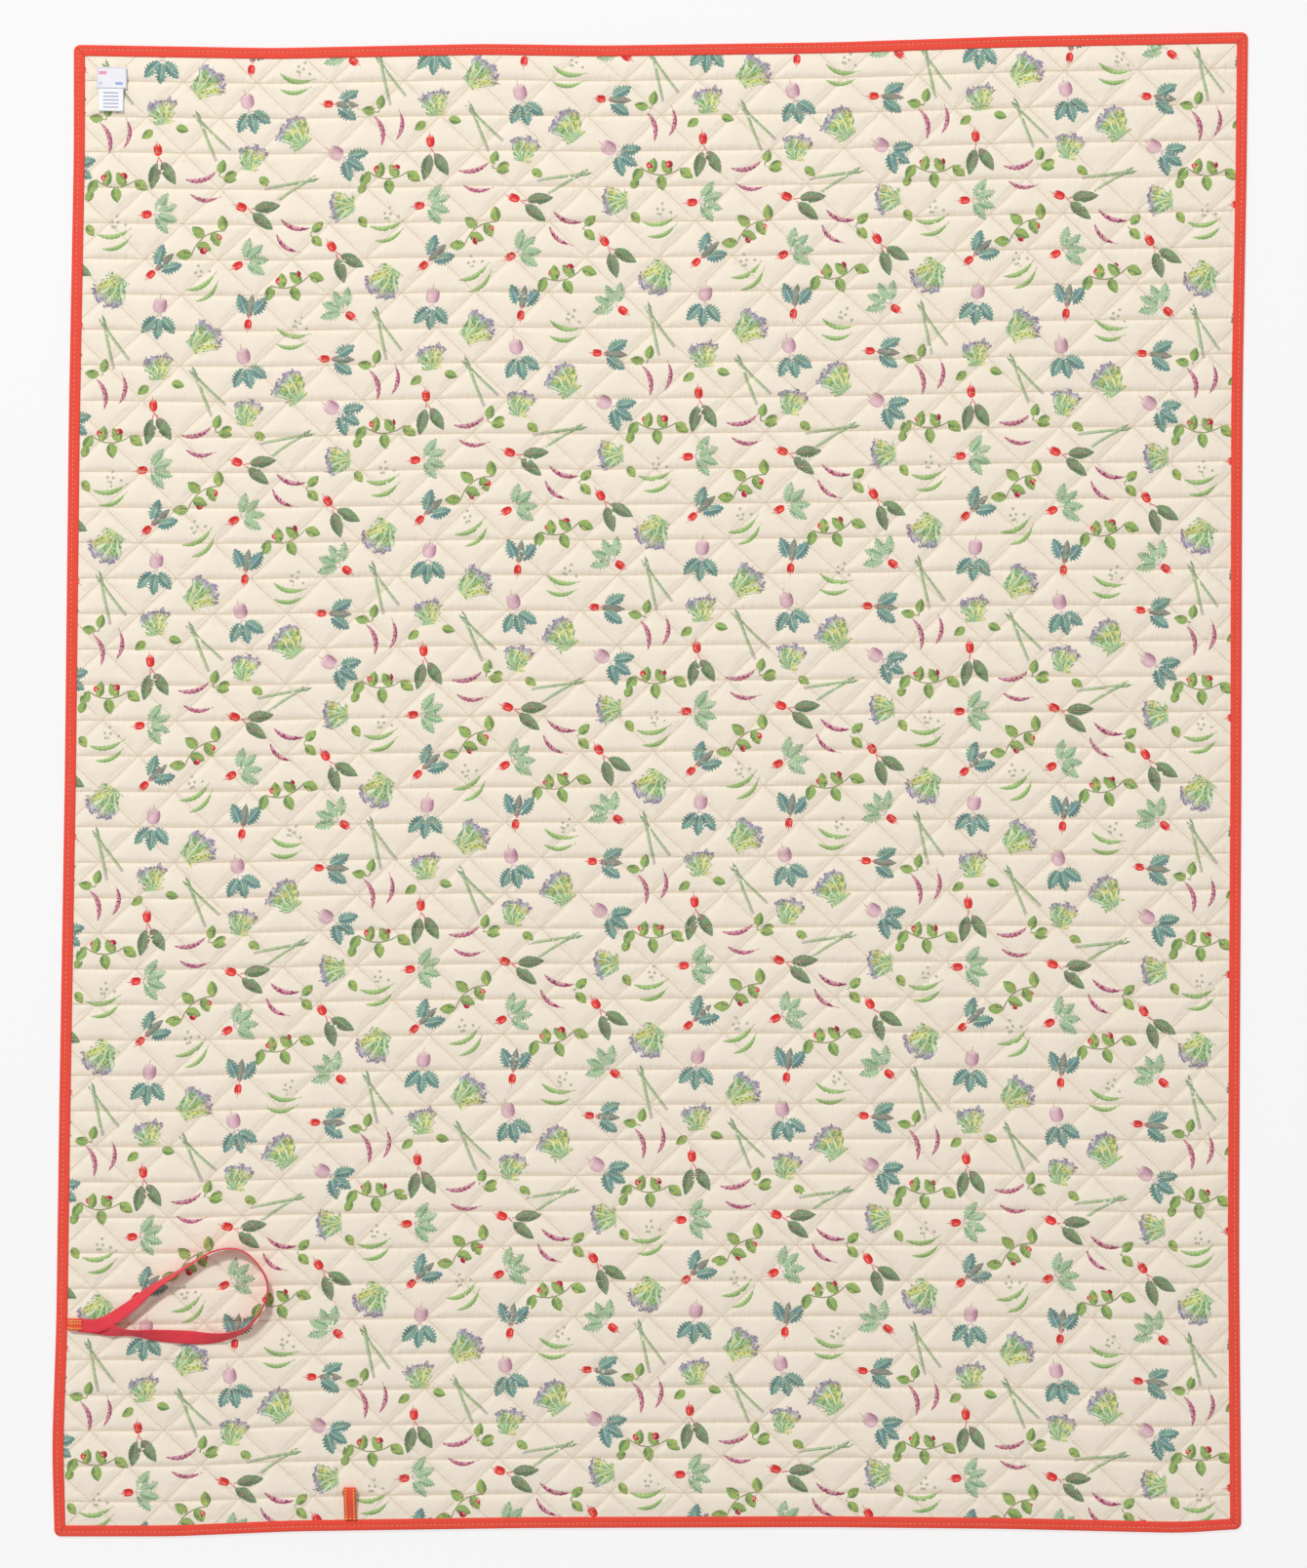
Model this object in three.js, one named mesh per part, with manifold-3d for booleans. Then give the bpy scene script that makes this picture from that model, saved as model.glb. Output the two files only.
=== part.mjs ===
// A quilted camp blanket lying flat: a printed cover, wadding and a ground-side
// backing, bound all round with tape. A closing strap with an elastic loop, a
// hanging loop and two labels are sewn on. The blanket folds across its middle.
// Millimetres. +Z up, +Y towards the labelled end, origin under the centre.

import * as THREE from 'three';
import { mergeVertices } from 'three/addons/utils/BufferGeometryUtils.js';
import Module from 'manifold-3d';

const wasm = await Module();
wasm.setup();

// Driving dimensions

// the blanket lying flat
const blanketWidth = 1400;
const blanketLength = 1780;
const cornerRadius = 8;
const insideCornerRadius = 0.5;

// the clearance between neighbouring pieces
const gap = 0.3;

// the quilt sandwich, in the open field and squeezed under the binding
const clothThickness = 0.6;
const waddingThickness = 6.2;
const squeezedWadding = 1.2;
const pinchLength = 12;

// the tape that wraps the edge
const bindingWidth = 13.5;
const bindingThickness = 0.8;
const mitreGap = 0.4;

// sewing thread on top of a piece
const threadWidth = 0.6;
const threadHeight = 0.4;
const bindingStitchInset = 5.5;

// the cut across the middle where the blanket folds
const foldGap = 0.6;

// the closing strap: a folded tab that grips both ends of an elastic loop
const strapFromBottom = 254;
const tabWidth = 14;
const tabLength = 32.5;
const tabThickness = 0.8;
const tabSlotStart = 14;
const tabStitchMargin = 2;
const elasticWidth = 16;
const elasticThickness = 1.2;

// the hanging loop on the bottom edge
const hangLoopFromLeft = 350;
const hangLoopWidth = 14.3;
const hangLoopLength = 40;
const hangTapeThickness = 1.1;
const hangEyeHeight = 5.2;
const hangEyeFlat = 12;
const hangRootFlat = 4;
const hangRootClearance = 0.4;

// the labels at the top left corner
const labelFromLeft = 26.7;
const labelFromTop = 24.3;
const labelThickness = 0.5;
const brandLabelWidth = 36;
const brandLabelLength = 26;
const careLabelWidth = 30;
const careLabelLength = 27;
const labelStitchMargin = 1.2;

// how finely round shapes are cut
const cornerSegments = 4;
const loopEndSegments = 8;
const elasticSteps = 76;

// Heights that follow from the stack

const fieldStack = stackLayers(0, [clothThickness, waddingThickness, clothThickness]);
const rimStack = stackLayers(0, [
  bindingThickness,
  clothThickness,
  squeezedWadding,
  clothThickness,
  bindingThickness,
]);
const fieldTop = fieldStack.at(-1).top;
const bindingTop = rimStack.at(-1).top;
const onField = fieldTop + gap;
const coverAtRim = rimStack.at(-2).top;
const halfWidth = blanketWidth / 2;
const halfLength = blanketLength / 2;
const spare = 10;

// Materials

const coverMaterial = clothMaterial(0xf3e6d0, 0.9);
const waddingMaterial = clothMaterial(0xf6f6f2, 1.0);
const backingMaterial = clothMaterial(0x8f9a86, 0.7);
const bindingMaterial = clothMaterial(0xf2523e, 0.85);
const bindingThreadMaterial = clothMaterial(0xf7b27a, 0.7);
const labelMaterial = clothMaterial(0xe9e6f0, 0.6);
const labelThreadMaterial = clothMaterial(0xffffff, 0.7);
const tapeMaterial = clothMaterial(0xef5a35, 0.85);
const tapeThreadMaterial = clothMaterial(0xf6a04a, 0.7);
const elasticMaterial = clothMaterial(0xe5424e, 0.8);

function clothMaterial(color, roughness) {
  return new THREE.MeshStandardMaterial({ color, roughness, metalness: 0 });
}

// Geometry helpers

// Layers lie on one another with the clearance between them.
function stackLayers(start, thicknesses) {
  const layers = [];
  let bottom = start;
  for (const thickness of thicknesses) {
    layers.push({ bottom, top: bottom + thickness });
    bottom += thickness + gap;
  }
  return layers;
}

// The blanket's outline moved inwards, as points that run anticlockwise.
function outlinePoints(inset) {
  const radius = Math.max(cornerRadius - inset, insideCornerRadius);
  const corners = [[1, 1], [-1, 1], [-1, -1], [1, -1]];
  return corners.flatMap(([sideX, sideY], corner) => {
    const centreX = sideX * (halfWidth - inset - radius);
    const centreY = sideY * (halfLength - inset - radius);
    return Array.from({ length: cornerSegments + 1 }, (_, step) => {
      const angle = (corner + step / cornerSegments) * Math.PI / 2;
      return new THREE.Vector2(
        centreX + radius * Math.cos(angle),
        centreY + radius * Math.sin(angle),
      );
    });
  });
}

// A flat shape given its thickness between two heights.
function slab(points, bottom, top) {
  const geometry = new THREE.ExtrudeGeometry(new THREE.Shape(points), {
    depth: top - bottom,
    bevelEnabled: false,
  });
  return geometry.translate(0, 0, bottom);
}

function rectangle(left, right, low, high) {
  return [
    new THREE.Vector2(left, low),
    new THREE.Vector2(right, low),
    new THREE.Vector2(right, high),
    new THREE.Vector2(left, high),
  ];
}

function buildGeometry(vertices, triangles) {
  const geometry = new THREE.BufferGeometry();
  geometry.setAttribute('position', new THREE.Float32BufferAttribute(vertices, 3));
  geometry.setIndex(triangles);
  geometry.computeVertexNormals();
  return geometry;
}

function toSolid(geometry) {
  const bare = geometry.clone();
  bare.deleteAttribute('normal');
  bare.deleteAttribute('uv');
  const merged = mergeVertices(bare);
  return new wasm.Manifold(new wasm.Mesh({
    numProp: 3,
    vertProperties: new Float32Array(merged.attributes.position.array),
    triVerts: new Uint32Array(merged.index.array),
  }));
}

function toGeometry(solid) {
  const mesh = solid.getMesh();
  return buildGeometry(Array.from(mesh.vertProperties), Array.from(mesh.triVerts));
}

// A thin ring that follows a rectangle: a closed line of stitching.
function stitchRing(left, right, low, high, bottom) {
  const top = bottom + threadHeight;
  const outside = toSolid(slab(rectangle(left, right, low, high), bottom, top));
  const inside = toSolid(slab(rectangle(
    left + threadWidth,
    right - threadWidth,
    low + threadWidth,
    high - threadWidth,
  ), bottom - threadHeight, top + threadHeight));
  return toGeometry(outside.subtract(inside));
}

// The sandwich layers

// One layer across the whole blanket. It is squeezed thin under the binding
// and opens to its full thickness past the pinch.
function pinchedLayer(rim, field) {
  const levels = [
    { inset: bindingThickness + gap, bottom: rim.bottom, top: rim.top },
    { inset: bindingWidth, bottom: rim.bottom, top: rim.top },
    { inset: bindingWidth + pinchLength, bottom: field.bottom, top: field.top },
  ];
  const vertices = [];
  const triangles = [];
  const loops = levels.map(({ inset, bottom, top }) => {
    const points = outlinePoints(inset);
    return [bottom, top].map((height) => {
      const first = vertices.length / 3;
      points.forEach((point) => vertices.push(point.x, point.y, height));
      return first;
    });
  });
  const count = outlinePoints(0).length;
  const band = (outer, inner) => {
    for (let i = 0; i < count; i += 1) {
      const next = (i + 1) % count;
      triangles.push(outer + i, outer + next, inner + next);
      triangles.push(outer + i, inner + next, inner + i);
    }
  };
  const [edge, pinch, open] = loops;
  band(edge[0], edge[1]);
  band(edge[1], pinch[1]);
  band(pinch[1], open[1]);
  band(pinch[0], edge[0]);
  band(open[0], pinch[0]);
  for (let i = 1; i < count - 1; i += 1) {
    triangles.push(open[1], open[1] + i, open[1] + i + 1);
    triangles.push(open[0], open[0] + i + 1, open[0] + i);
  }
  return toSolid(buildGeometry(vertices, triangles));
}

// The part of a solid on one side of the fold: -1 is the strap end, 1 the label end.
function halfOf(solid, side) {
  const near = side * foldGap / 2;
  const far = side * (halfLength + spare);
  const outline = rectangle(
    -halfWidth - spare,
    halfWidth + spare,
    Math.min(near, far),
    Math.max(near, far),
  );
  return solid.intersect(toSolid(slab(outline, -spare, fieldTop + spare)));
}

// The binding

// Tape folded over the edge all round, open towards the middle.
function bindingRing() {
  const wrap = toSolid(slab(outlinePoints(0), 0, bindingTop));
  const pocket = toSolid(slab(
    outlinePoints(bindingThickness),
    bindingThickness,
    bindingTop - bindingThickness,
  ));
  const window = toSolid(slab(outlinePoints(bindingWidth), -spare, bindingTop + spare));
  return wrap.subtract(pocket).subtract(window);
}

// The wedge between two corner mitres that keeps one side of the ring.
// The long side runs along X for the ends and along Y for the sides.
function mitreWedge(alongX, side) {
  const reach = bindingWidth + spare;
  const halfRun = alongX ? halfWidth : halfLength;
  const halfAcross = alongX ? halfLength : halfWidth;
  const points = [
    [-halfRun - spare + mitreGap, halfAcross + spare],
    [-halfRun + reach + mitreGap, halfAcross - reach],
    [halfRun - reach - mitreGap, halfAcross - reach],
    [halfRun + spare - mitreGap, halfAcross + spare],
  ].map(([run, across]) => (
    alongX ? new THREE.Vector2(run, side * across) : new THREE.Vector2(side * across, run)
  ));
  return toSolid(slab(points, -spare, bindingTop + spare));
}

function bindingStitches() {
  const bottom = bindingTop + gap;
  const top = bottom + threadHeight;
  const outside = toSolid(slab(outlinePoints(bindingStitchInset), bottom, top));
  const inside = toSolid(slab(
    outlinePoints(bindingStitchInset + threadWidth),
    bottom - threadHeight,
    top + threadHeight,
  ));
  return outside.subtract(inside);
}

// The closing strap, measured from where it leaves the left binding

const strapRootX = -halfWidth + bindingWidth;
const strapRootY = -halfLength + strapFromBottom;
const tabRootBottom = bindingTop + gap;
const slotBottom = onField + tabThickness;
const slotTop = slotBottom + 2 * elasticThickness + 3 * gap;
const tabTop = slotTop + tabThickness;

// The tab's side view, with the mouth that takes the two elastic ends.
function strapTab() {
  const side = [
    [gap, tabRootBottom],
    [pinchLength, onField],
    [tabLength, onField],
    [tabLength, slotBottom],
    [tabSlotStart, slotBottom],
    [tabSlotStart, slotTop],
    [tabLength, slotTop],
    [tabLength, tabTop],
    [pinchLength, tabTop],
    [gap, tabRootBottom + 2 * tabThickness],
  ].map(([x, z]) => new THREE.Vector2(x, z));
  const geometry = slab(side, -tabWidth / 2, tabWidth / 2);
  return geometry.rotateX(Math.PI / 2).translate(strapRootX, strapRootY, 0);
}

// Along, across, tilt of the tape (0 flat, 90 on edge) and height under it.
function elasticRoute() {
  const start = tabSlotStart + gap;
  const lowerEnd = slotBottom + gap - onField;
  const upperEnd = lowerEnd + elasticThickness + gap;
  return [
    [start, 0, 0, upperEnd],
    [tabLength, 0, 0, upperEnd],
    [48, 5, 0, upperEnd],
    [62, 12, 0, upperEnd],
    [78, 21, 0, upperEnd / 2],
    [108, 39, 0, 0],
    [135, 62, 50, 0],
    [166, 80, 90, 0],
    [184, 90, 90, 0],
    [200, 90, 90, 0],
    [221, 77, 90, 0],
    [236, 56, 90, 0],
    [238, 44, 90, 0],
    [235, 25, 90, 0],
    [224, 5, 90, 0],
    [201, -11, 70, 0],
    [166, -16, 0, 0],
    [132, -15, 0, 0],
    [99, -11, 40, 0],
    [78, -8, 60, 0],
    [62, -6, 20, 0],
    [48, -3, 0, lowerEnd],
    [tabLength, 0, 0, lowerEnd],
    [start, 0, 0, lowerEnd],
  ];
}

// The elastic tape: a flat section carried round the route and turned as it goes.
function elasticLoop() {
  const route = elasticRoute();
  const path = new THREE.CatmullRomCurve3(
    route.map(([along, across]) => new THREE.Vector3(along, across, 0)),
    false,
    'centripetal',
  );
  const vertices = [];
  const triangles = [];
  for (let step = 0; step <= elasticSteps; step += 1) {
    const t = step / elasticSteps;
    const point = path.getPoint(t);
    const direction = path.getTangent(t);
    const tilt = THREE.MathUtils.degToRad(steady(route, t, 2));
    const lift = steady(route, t, 3);
    const sideways = new THREE.Vector3(-direction.y, direction.x, 0).normalize();
    const up = new THREE.Vector3(0, 0, 1);
    const wide = sideways.clone().multiplyScalar(Math.cos(tilt));
    wide.addScaledVector(up, Math.sin(tilt)).multiplyScalar(elasticWidth / 2);
    const thick = sideways.clone().multiplyScalar(-Math.sin(tilt));
    thick.addScaledVector(up, Math.cos(tilt)).multiplyScalar(elasticThickness / 2);
    const centre = new THREE.Vector3(
      strapRootX + point.x,
      strapRootY + point.y,
      onField + lift + wide.z + thick.z,
    );
    for (const [w, k] of [[-1, -1], [1, -1], [1, 1], [-1, 1]]) {
      const corner = centre.clone().addScaledVector(wide, w).addScaledVector(thick, k);
      vertices.push(corner.x, corner.y, corner.z);
    }
  }
  for (let step = 0; step < elasticSteps; step += 1) {
    for (let side = 0; side < 4; side += 1) {
      const a = step * 4 + side;
      const b = step * 4 + (side + 1) % 4;
      triangles.push(a, b, a + 4, b, b + 4, a + 4);
    }
  }
  const last = elasticSteps * 4;
  triangles.push(0, 2, 1, 0, 3, 2);
  triangles.push(last, last + 1, last + 2, last, last + 2, last + 3);
  return buildGeometry(vertices, triangles);
}

// A value of the route between its points, without overshoot.
function steady(route, t, column) {
  const place = t * (route.length - 1);
  const index = Math.min(Math.floor(place), route.length - 2);
  const share = THREE.MathUtils.smoothstep(place - index, 0, 1);
  return THREE.MathUtils.lerp(route[index][column], route[index + 1][column], share);
}

// The hanging loop, measured from where it leaves the bottom binding

const hangRootX = -halfWidth + hangLoopFromLeft;
const hangRootY = -halfLength + bindingWidth;
const coverAtRootEnd = THREE.MathUtils.lerp(coverAtRim, fieldTop, hangRootFlat / pinchLength);
const hangRootBottom = coverAtRootEnd + hangRootClearance;
const hangRootTop = hangRootBottom + 2 * hangTapeThickness;
const hangEyeBottom = onField + hangTapeThickness;

// The side view of a tape doubled back on itself, with the eye left open.
function hangLoop() {
  const eyeRadius = hangEyeHeight / 2;
  const tapeRadius = eyeRadius + hangTapeThickness;
  const endCentreY = hangLoopLength - tapeRadius;
  const endCentreZ = hangEyeBottom + eyeRadius;
  const eyeStart = endCentreY - hangEyeFlat;
  const roundEnd = (radius) => Array.from({ length: loopEndSegments + 1 }, (_, step) => {
    const angle = -Math.PI / 2 + Math.PI * step / loopEndSegments;
    return new THREE.Vector2(
      endCentreY + radius * Math.cos(angle),
      endCentreZ + radius * Math.sin(angle),
    );
  });
  const side = new THREE.Shape([
    new THREE.Vector2(gap, hangRootBottom),
    new THREE.Vector2(hangRootFlat, hangRootBottom),
    new THREE.Vector2(pinchLength, onField),
    ...roundEnd(tapeRadius),
    new THREE.Vector2(eyeStart, endCentreZ + tapeRadius),
    new THREE.Vector2(pinchLength, onField + 2 * hangTapeThickness),
    new THREE.Vector2(hangRootFlat, hangRootTop),
    new THREE.Vector2(gap, hangRootTop),
  ]);
  side.holes.push(new THREE.Path([
    new THREE.Vector2(pinchLength + hangTapeThickness, hangEyeBottom),
    ...roundEnd(eyeRadius),
    new THREE.Vector2(eyeStart + hangTapeThickness, endCentreZ + eyeRadius),
  ]));
  const geometry = new THREE.ExtrudeGeometry(side, {
    depth: hangLoopWidth,
    bevelEnabled: false,
  });
  geometry.rotateX(Math.PI / 2).rotateZ(Math.PI / 2);
  return geometry.translate(hangRootX - hangLoopWidth / 2, hangRootY, 0);
}

// The labels, measured from the top left corner

const labelLeft = -halfWidth + labelFromLeft;
const labelHigh = halfLength - labelFromTop;
const labelJoin = labelHigh - brandLabelLength;
const labelTop = onField + labelThickness;

function label(width, high, length) {
  return slab(rectangle(labelLeft, labelLeft + width, high - length, high), onField, labelTop);
}

// The blanket, put together

const blanket = new THREE.Group();

function addPiece(name, geometry, material) {
  const mesh = new THREE.Mesh(geometry, material);
  mesh.name = name;
  blanket.add(mesh);
}

const [backingField, waddingField, coverField] = fieldStack;
const [, backingRim, waddingRim, coverRim] = rimStack;
const layers = [
  ['backing', pinchedLayer(backingRim, backingField), backingMaterial],
  ['wadding', pinchedLayer(waddingRim, waddingField), waddingMaterial],
  ['cover', pinchedLayer(coverRim, coverField), coverMaterial],
];
const halves = [['lower', -1], ['upper', 1]];
const ring = bindingRing();
const stitches = bindingStitches();

for (const [half, side] of halves) {
  for (const [name, solid, material] of layers) {
    addPiece(`${name}_${half}`, toGeometry(halfOf(solid, side)), material);
  }
  for (const [name, across] of [['left', -1], ['right', 1]]) {
    const run = ring.intersect(mitreWedge(false, across));
    addPiece(`binding_${name}_${half}`, toGeometry(halfOf(run, side)), bindingMaterial);
  }
  addPiece(`binding_thread_${half}`, toGeometry(halfOf(stitches, side)), bindingThreadMaterial);
}
addPiece('binding_bottom', toGeometry(ring.intersect(mitreWedge(true, -1))), bindingMaterial);
addPiece('binding_top', toGeometry(ring.intersect(mitreWedge(true, 1))), bindingMaterial);

addPiece('strap_tab', strapTab(), tapeMaterial);
addPiece('strap_tab_stitching', stitchRing(
  strapRootX + pinchLength + tabStitchMargin,
  strapRootX + tabLength - tabStitchMargin,
  strapRootY - tabWidth / 2 + tabStitchMargin,
  strapRootY + tabWidth / 2 - tabStitchMargin,
  tabTop + gap,
), tapeThreadMaterial);
addPiece('elastic_loop', elasticLoop(), elasticMaterial);

addPiece('hang_loop', hangLoop(), tapeMaterial);
addPiece('hang_loop_stitching', stitchRing(
  hangRootX - hangLoopWidth / 2 + tabStitchMargin,
  hangRootX + hangLoopWidth / 2 - tabStitchMargin,
  hangRootY + 2 * gap,
  hangRootY + hangRootFlat - gap,
  hangRootTop + gap,
), tapeThreadMaterial);

addPiece('brand_label', label(brandLabelWidth, labelHigh, brandLabelLength), labelMaterial);
addPiece('brand_label_stitching', stitchRing(
  labelLeft + labelStitchMargin,
  labelLeft + brandLabelWidth - labelStitchMargin,
  labelJoin + labelStitchMargin,
  labelHigh - labelStitchMargin,
  labelTop + gap,
), labelThreadMaterial);
addPiece('care_label', label(careLabelWidth, labelJoin - gap, careLabelLength), labelMaterial);

export default blanket;
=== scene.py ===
# %% [markdown]
# # A quilted camp blanket
# The blanket is a sandwich: a printed cotton cover, a layer of wadding and a plain
# backing, sewn together in small triangles and bound all round with tape. A closing
# strap, a hanging loop and two labels are sewn on. The solid parts come from the
# frame, and this lesson dresses them as cloth.

# %% Load the frame
import math
from functools import partial
import bpy
import numpy as np
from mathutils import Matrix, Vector
from mathutils.bvhtree import BVHTree


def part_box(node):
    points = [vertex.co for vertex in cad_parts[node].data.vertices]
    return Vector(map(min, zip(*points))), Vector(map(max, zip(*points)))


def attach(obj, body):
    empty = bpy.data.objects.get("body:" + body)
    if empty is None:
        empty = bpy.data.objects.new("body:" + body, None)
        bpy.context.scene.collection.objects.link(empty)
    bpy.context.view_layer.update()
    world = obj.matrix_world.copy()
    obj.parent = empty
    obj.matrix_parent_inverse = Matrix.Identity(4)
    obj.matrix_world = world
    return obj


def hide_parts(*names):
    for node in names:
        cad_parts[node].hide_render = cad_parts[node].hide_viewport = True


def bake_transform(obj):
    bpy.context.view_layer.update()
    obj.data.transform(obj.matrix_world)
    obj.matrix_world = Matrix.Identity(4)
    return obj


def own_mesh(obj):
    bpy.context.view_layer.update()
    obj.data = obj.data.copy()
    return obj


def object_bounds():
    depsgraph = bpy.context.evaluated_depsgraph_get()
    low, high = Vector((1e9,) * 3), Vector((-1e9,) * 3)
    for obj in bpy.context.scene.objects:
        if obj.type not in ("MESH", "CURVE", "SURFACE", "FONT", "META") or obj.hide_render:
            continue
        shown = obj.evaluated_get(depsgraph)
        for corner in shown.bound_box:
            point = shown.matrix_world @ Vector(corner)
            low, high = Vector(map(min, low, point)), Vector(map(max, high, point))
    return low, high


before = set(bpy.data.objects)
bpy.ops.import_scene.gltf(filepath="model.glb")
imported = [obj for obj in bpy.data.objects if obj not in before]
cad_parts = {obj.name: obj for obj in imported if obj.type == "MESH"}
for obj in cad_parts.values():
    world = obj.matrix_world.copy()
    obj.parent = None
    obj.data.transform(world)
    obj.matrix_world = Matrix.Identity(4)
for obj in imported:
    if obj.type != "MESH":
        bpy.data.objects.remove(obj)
cad_low, cad_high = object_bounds()
print("the solid model's box", tuple(cad_low), tuple(cad_high))


def put_in_scene(name, data):
    """A new object in the scene."""
    made = bpy.data.objects.new(name, data)
    bpy.context.scene.collection.objects.link(made)
    return made


# %% [markdown]
# The camera looks straight down, as if from a ceiling. A long lens from five metres
# up keeps the far corners as square as they are on the real thing, where a wide lens
# would bend them. One stretch of floor has to fill the height of the picture, and
# the lens follows from that and the distance.

# %% Camera
CAMERA_HEIGHT = 5.0
VIEW_HEIGHT = 1.8667
VIEW_CENTRE = (0.0006, 0.0023)
camera_data = bpy.data.cameras.new("overhead_camera")
camera_data.sensor_width = 36
camera_data.lens = camera_data.sensor_width * CAMERA_HEIGHT / VIEW_HEIGHT
camera = put_in_scene("overhead_camera", camera_data)
camera.location = (*VIEW_CENTRE, CAMERA_HEIGHT)
bpy.context.scene.camera = camera
print("lens", round(camera_data.lens, 1), "mm")

# %% [markdown]
# Every length is in metres. The blanket's size and the binding's width are read from
# the frame, and the smaller sizes further on are set to match the solid parts.
# MM makes small sizes easy to read.

# %% Sizes
MM = 0.001
binding_low, binding_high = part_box("binding_bottom")
WIDTH = cad_high.x - cad_low.x
LENGTH = cad_high.y - cad_low.y
BINDING_WIDTH = binding_high.y - binding_low.y
CORNER_RADIUS = 8 * MM
ROWS = 42
COLUMNS = 32
ROW_PITCH = LENGTH / ROWS
COLUMN_PITCH = WIDTH / COLUMNS
print("blanket", round(WIDTH, 3), "x", round(LENGTH, 3), "binding", round(BINDING_WIDTH, 4))

# %% [markdown]
# Nobody lays a blanket down perfectly square. Its edges wander by a few millimetres,
# and the whole sheet leans a little. Each edge gets a handful of points, as the
# place along the edge and the shift in millimetres, and a smooth curve runs through
# them. `lay` moves any point of the flat blanket to where it really lies, so every
# piece stays in step with its neighbours.

# %% How the blanket was laid down
LEFT_SHIFT = [(0, -12), (0.06, -15), (0.14, -10), (0.3, -6), (0.5, 0), (0.75, 5), (0.93, 11),
              (1, 11)]
RIGHT_SHIFT = [(0, 0), (0.2, -3), (0.5, 0), (0.75, 1), (0.9, 6), (1, 8)]
BOTTOM_SHIFT = [(0, -3), (0.1, -3), (0.2, 3), (0.4, 7), (0.65, 8), (0.8, 6), (0.95, 1), (1, 6)]
TOP_SHIFT = [(0, -8), (0.17, -12), (0.35, -7), (0.45, -9), (0.65, -5), (0.8, 2), (1, 7)]


def smooth_line(points, at):
    """A smooth curve through the points, sampled at the places given."""
    places, shifts = np.array(points, float).T
    fine = np.linspace(places[0], places[-1], 400)
    line = np.interp(fine, places, shifts)
    window = np.hanning(25)
    padded = np.pad(line, 12, mode="edge")
    return np.interp(at, fine, np.convolve(padded, window / window.sum(), "valid")) * MM


def lay(points):
    """Moves points of the flat blanket sideways to where they lie."""
    laid = np.array(points, float)
    across = np.clip(laid[:, 0] / WIDTH + 0.5, 0, 1)
    along = np.clip(laid[:, 1] / LENGTH + 0.5, 0, 1)
    left = smooth_line(LEFT_SHIFT, along) * (1 - across)
    right = smooth_line(RIGHT_SHIFT, along) * across
    bottom = smooth_line(BOTTOM_SHIFT, across) * (1 - along)
    top = smooth_line(TOP_SHIFT, across) * along
    laid[:, 0] += left + right
    laid[:, 1] += bottom + top
    return laid


# %% [markdown]
# Pieces are built as lists of points and faces. `make_piece` turns them into a smooth
# shaded object whose place is in its mesh. Values that vary over the cloth, such as
# where a point sits on the flat cloth, travel with the mesh as UV maps and attributes,
# so a pattern stays on the cloth when the blanket folds. The cloths and the labels start
# as a net of points in rows, so a net's faces and its border are worked out here too.

# %% Mesh helpers
def make_piece(name, points, faces, material):
    """A smooth shaded object from points and faces, laid down with the blanket."""
    mesh = bpy.data.meshes.new(name)
    mesh.from_pydata(lay(points).tolist(), [], [tuple(face) for face in faces])
    mesh.materials.append(material)
    mesh.shade_smooth()
    print(name, len(mesh.polygons), "faces")
    return put_in_scene(name, mesh)


def finished_mesh(draft):
    """The mesh that an object's modifiers make. The object itself is thrown away."""
    ready = draft.evaluated_get(bpy.context.evaluated_depsgraph_get())
    mesh = bpy.data.meshes.new_from_object(ready)
    bpy.data.objects.remove(draft)
    mesh.shade_smooth()
    return mesh


def mesh_points(mesh):
    """The places of a mesh's points, one in each row."""
    flat = np.empty(len(mesh.vertices) * 3)
    mesh.vertices.foreach_get("co", flat)
    return flat.reshape(-1, 3)


def loop_points(mesh):
    """The point number at each corner of each face."""
    corners = np.empty(len(mesh.loops), int)
    mesh.loops.foreach_get("vertex_index", corners)
    return corners


def net_faces(across, up, cells=None):
    """A net's point numbers, and its squares or the triangles that its seams cut."""
    number = np.arange(across * up).reshape(up, across)
    a, b = number[:-1, :-1].ravel(), number[:-1, 1:].ravel()
    c, d = number[1:, 1:].ravel(), number[1:, :-1].ravel()
    if cells is None:
        return number, np.stack([a, b, c, d], 1)
    rows, columns = np.indices((up - 1, across - 1)) // cells
    rising = ((rows + columns) % 2 == 0).ravel()[:, None]
    first = np.where(rising, np.stack([a, b, c], 1), np.stack([a, b, d], 1))
    second = np.where(rising, np.stack([a, c, d], 1), np.stack([b, c, d], 1))
    return number, np.concatenate([first, second])


def border(number):
    """The point numbers round the edge of a net, going anticlockwise."""
    return [*number[0, :-1], *number[:-1, -1], *number[-1, :0:-1], *number[:0:-1, 0]]


def add_uv(piece, points, name="cloth"):
    """A UV map that gives each point's place on the flat cloth, in metres."""
    flat = np.array(points, float)[loop_points(piece.data), :2]
    piece.data.uv_layers.new(name=name).data.foreach_set("uv", flat.ravel())


# %% [markdown]
# A finish is written as sums. `Value` wraps a number that a material works out, and
# adding, multiplying or comparing two of them adds the Math nodes. `add_node` makes
# every node from its type, its settings, and the values or links of its sockets, and
# `Finish` is a material under construction that has a short name for each common node.

# %% Shader sums
def feed(tree, socket, value):
    """Links a socket to a value that is worked out, or sets it to a plain one."""
    if isinstance(value, Value):
        value = value.socket
    if isinstance(value, bpy.types.NodeSocket):
        tree.links.new(value, socket)
    elif isinstance(value, tuple) and len(value) == 3 and socket.type == "RGBA":
        socket.default_value = (*value, 1)
    else:
        socket.default_value = value


def add_node(tree, kind, settings=None, inputs=None):
    """A node with its settings and its sockets filled in."""
    made = tree.nodes.new(kind)
    for setting, value in (settings or {}).items():
        setattr(made, setting, value)
    for place, value in (inputs or {}).items():
        feed(tree, made.inputs[place], value)
    return made


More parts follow.
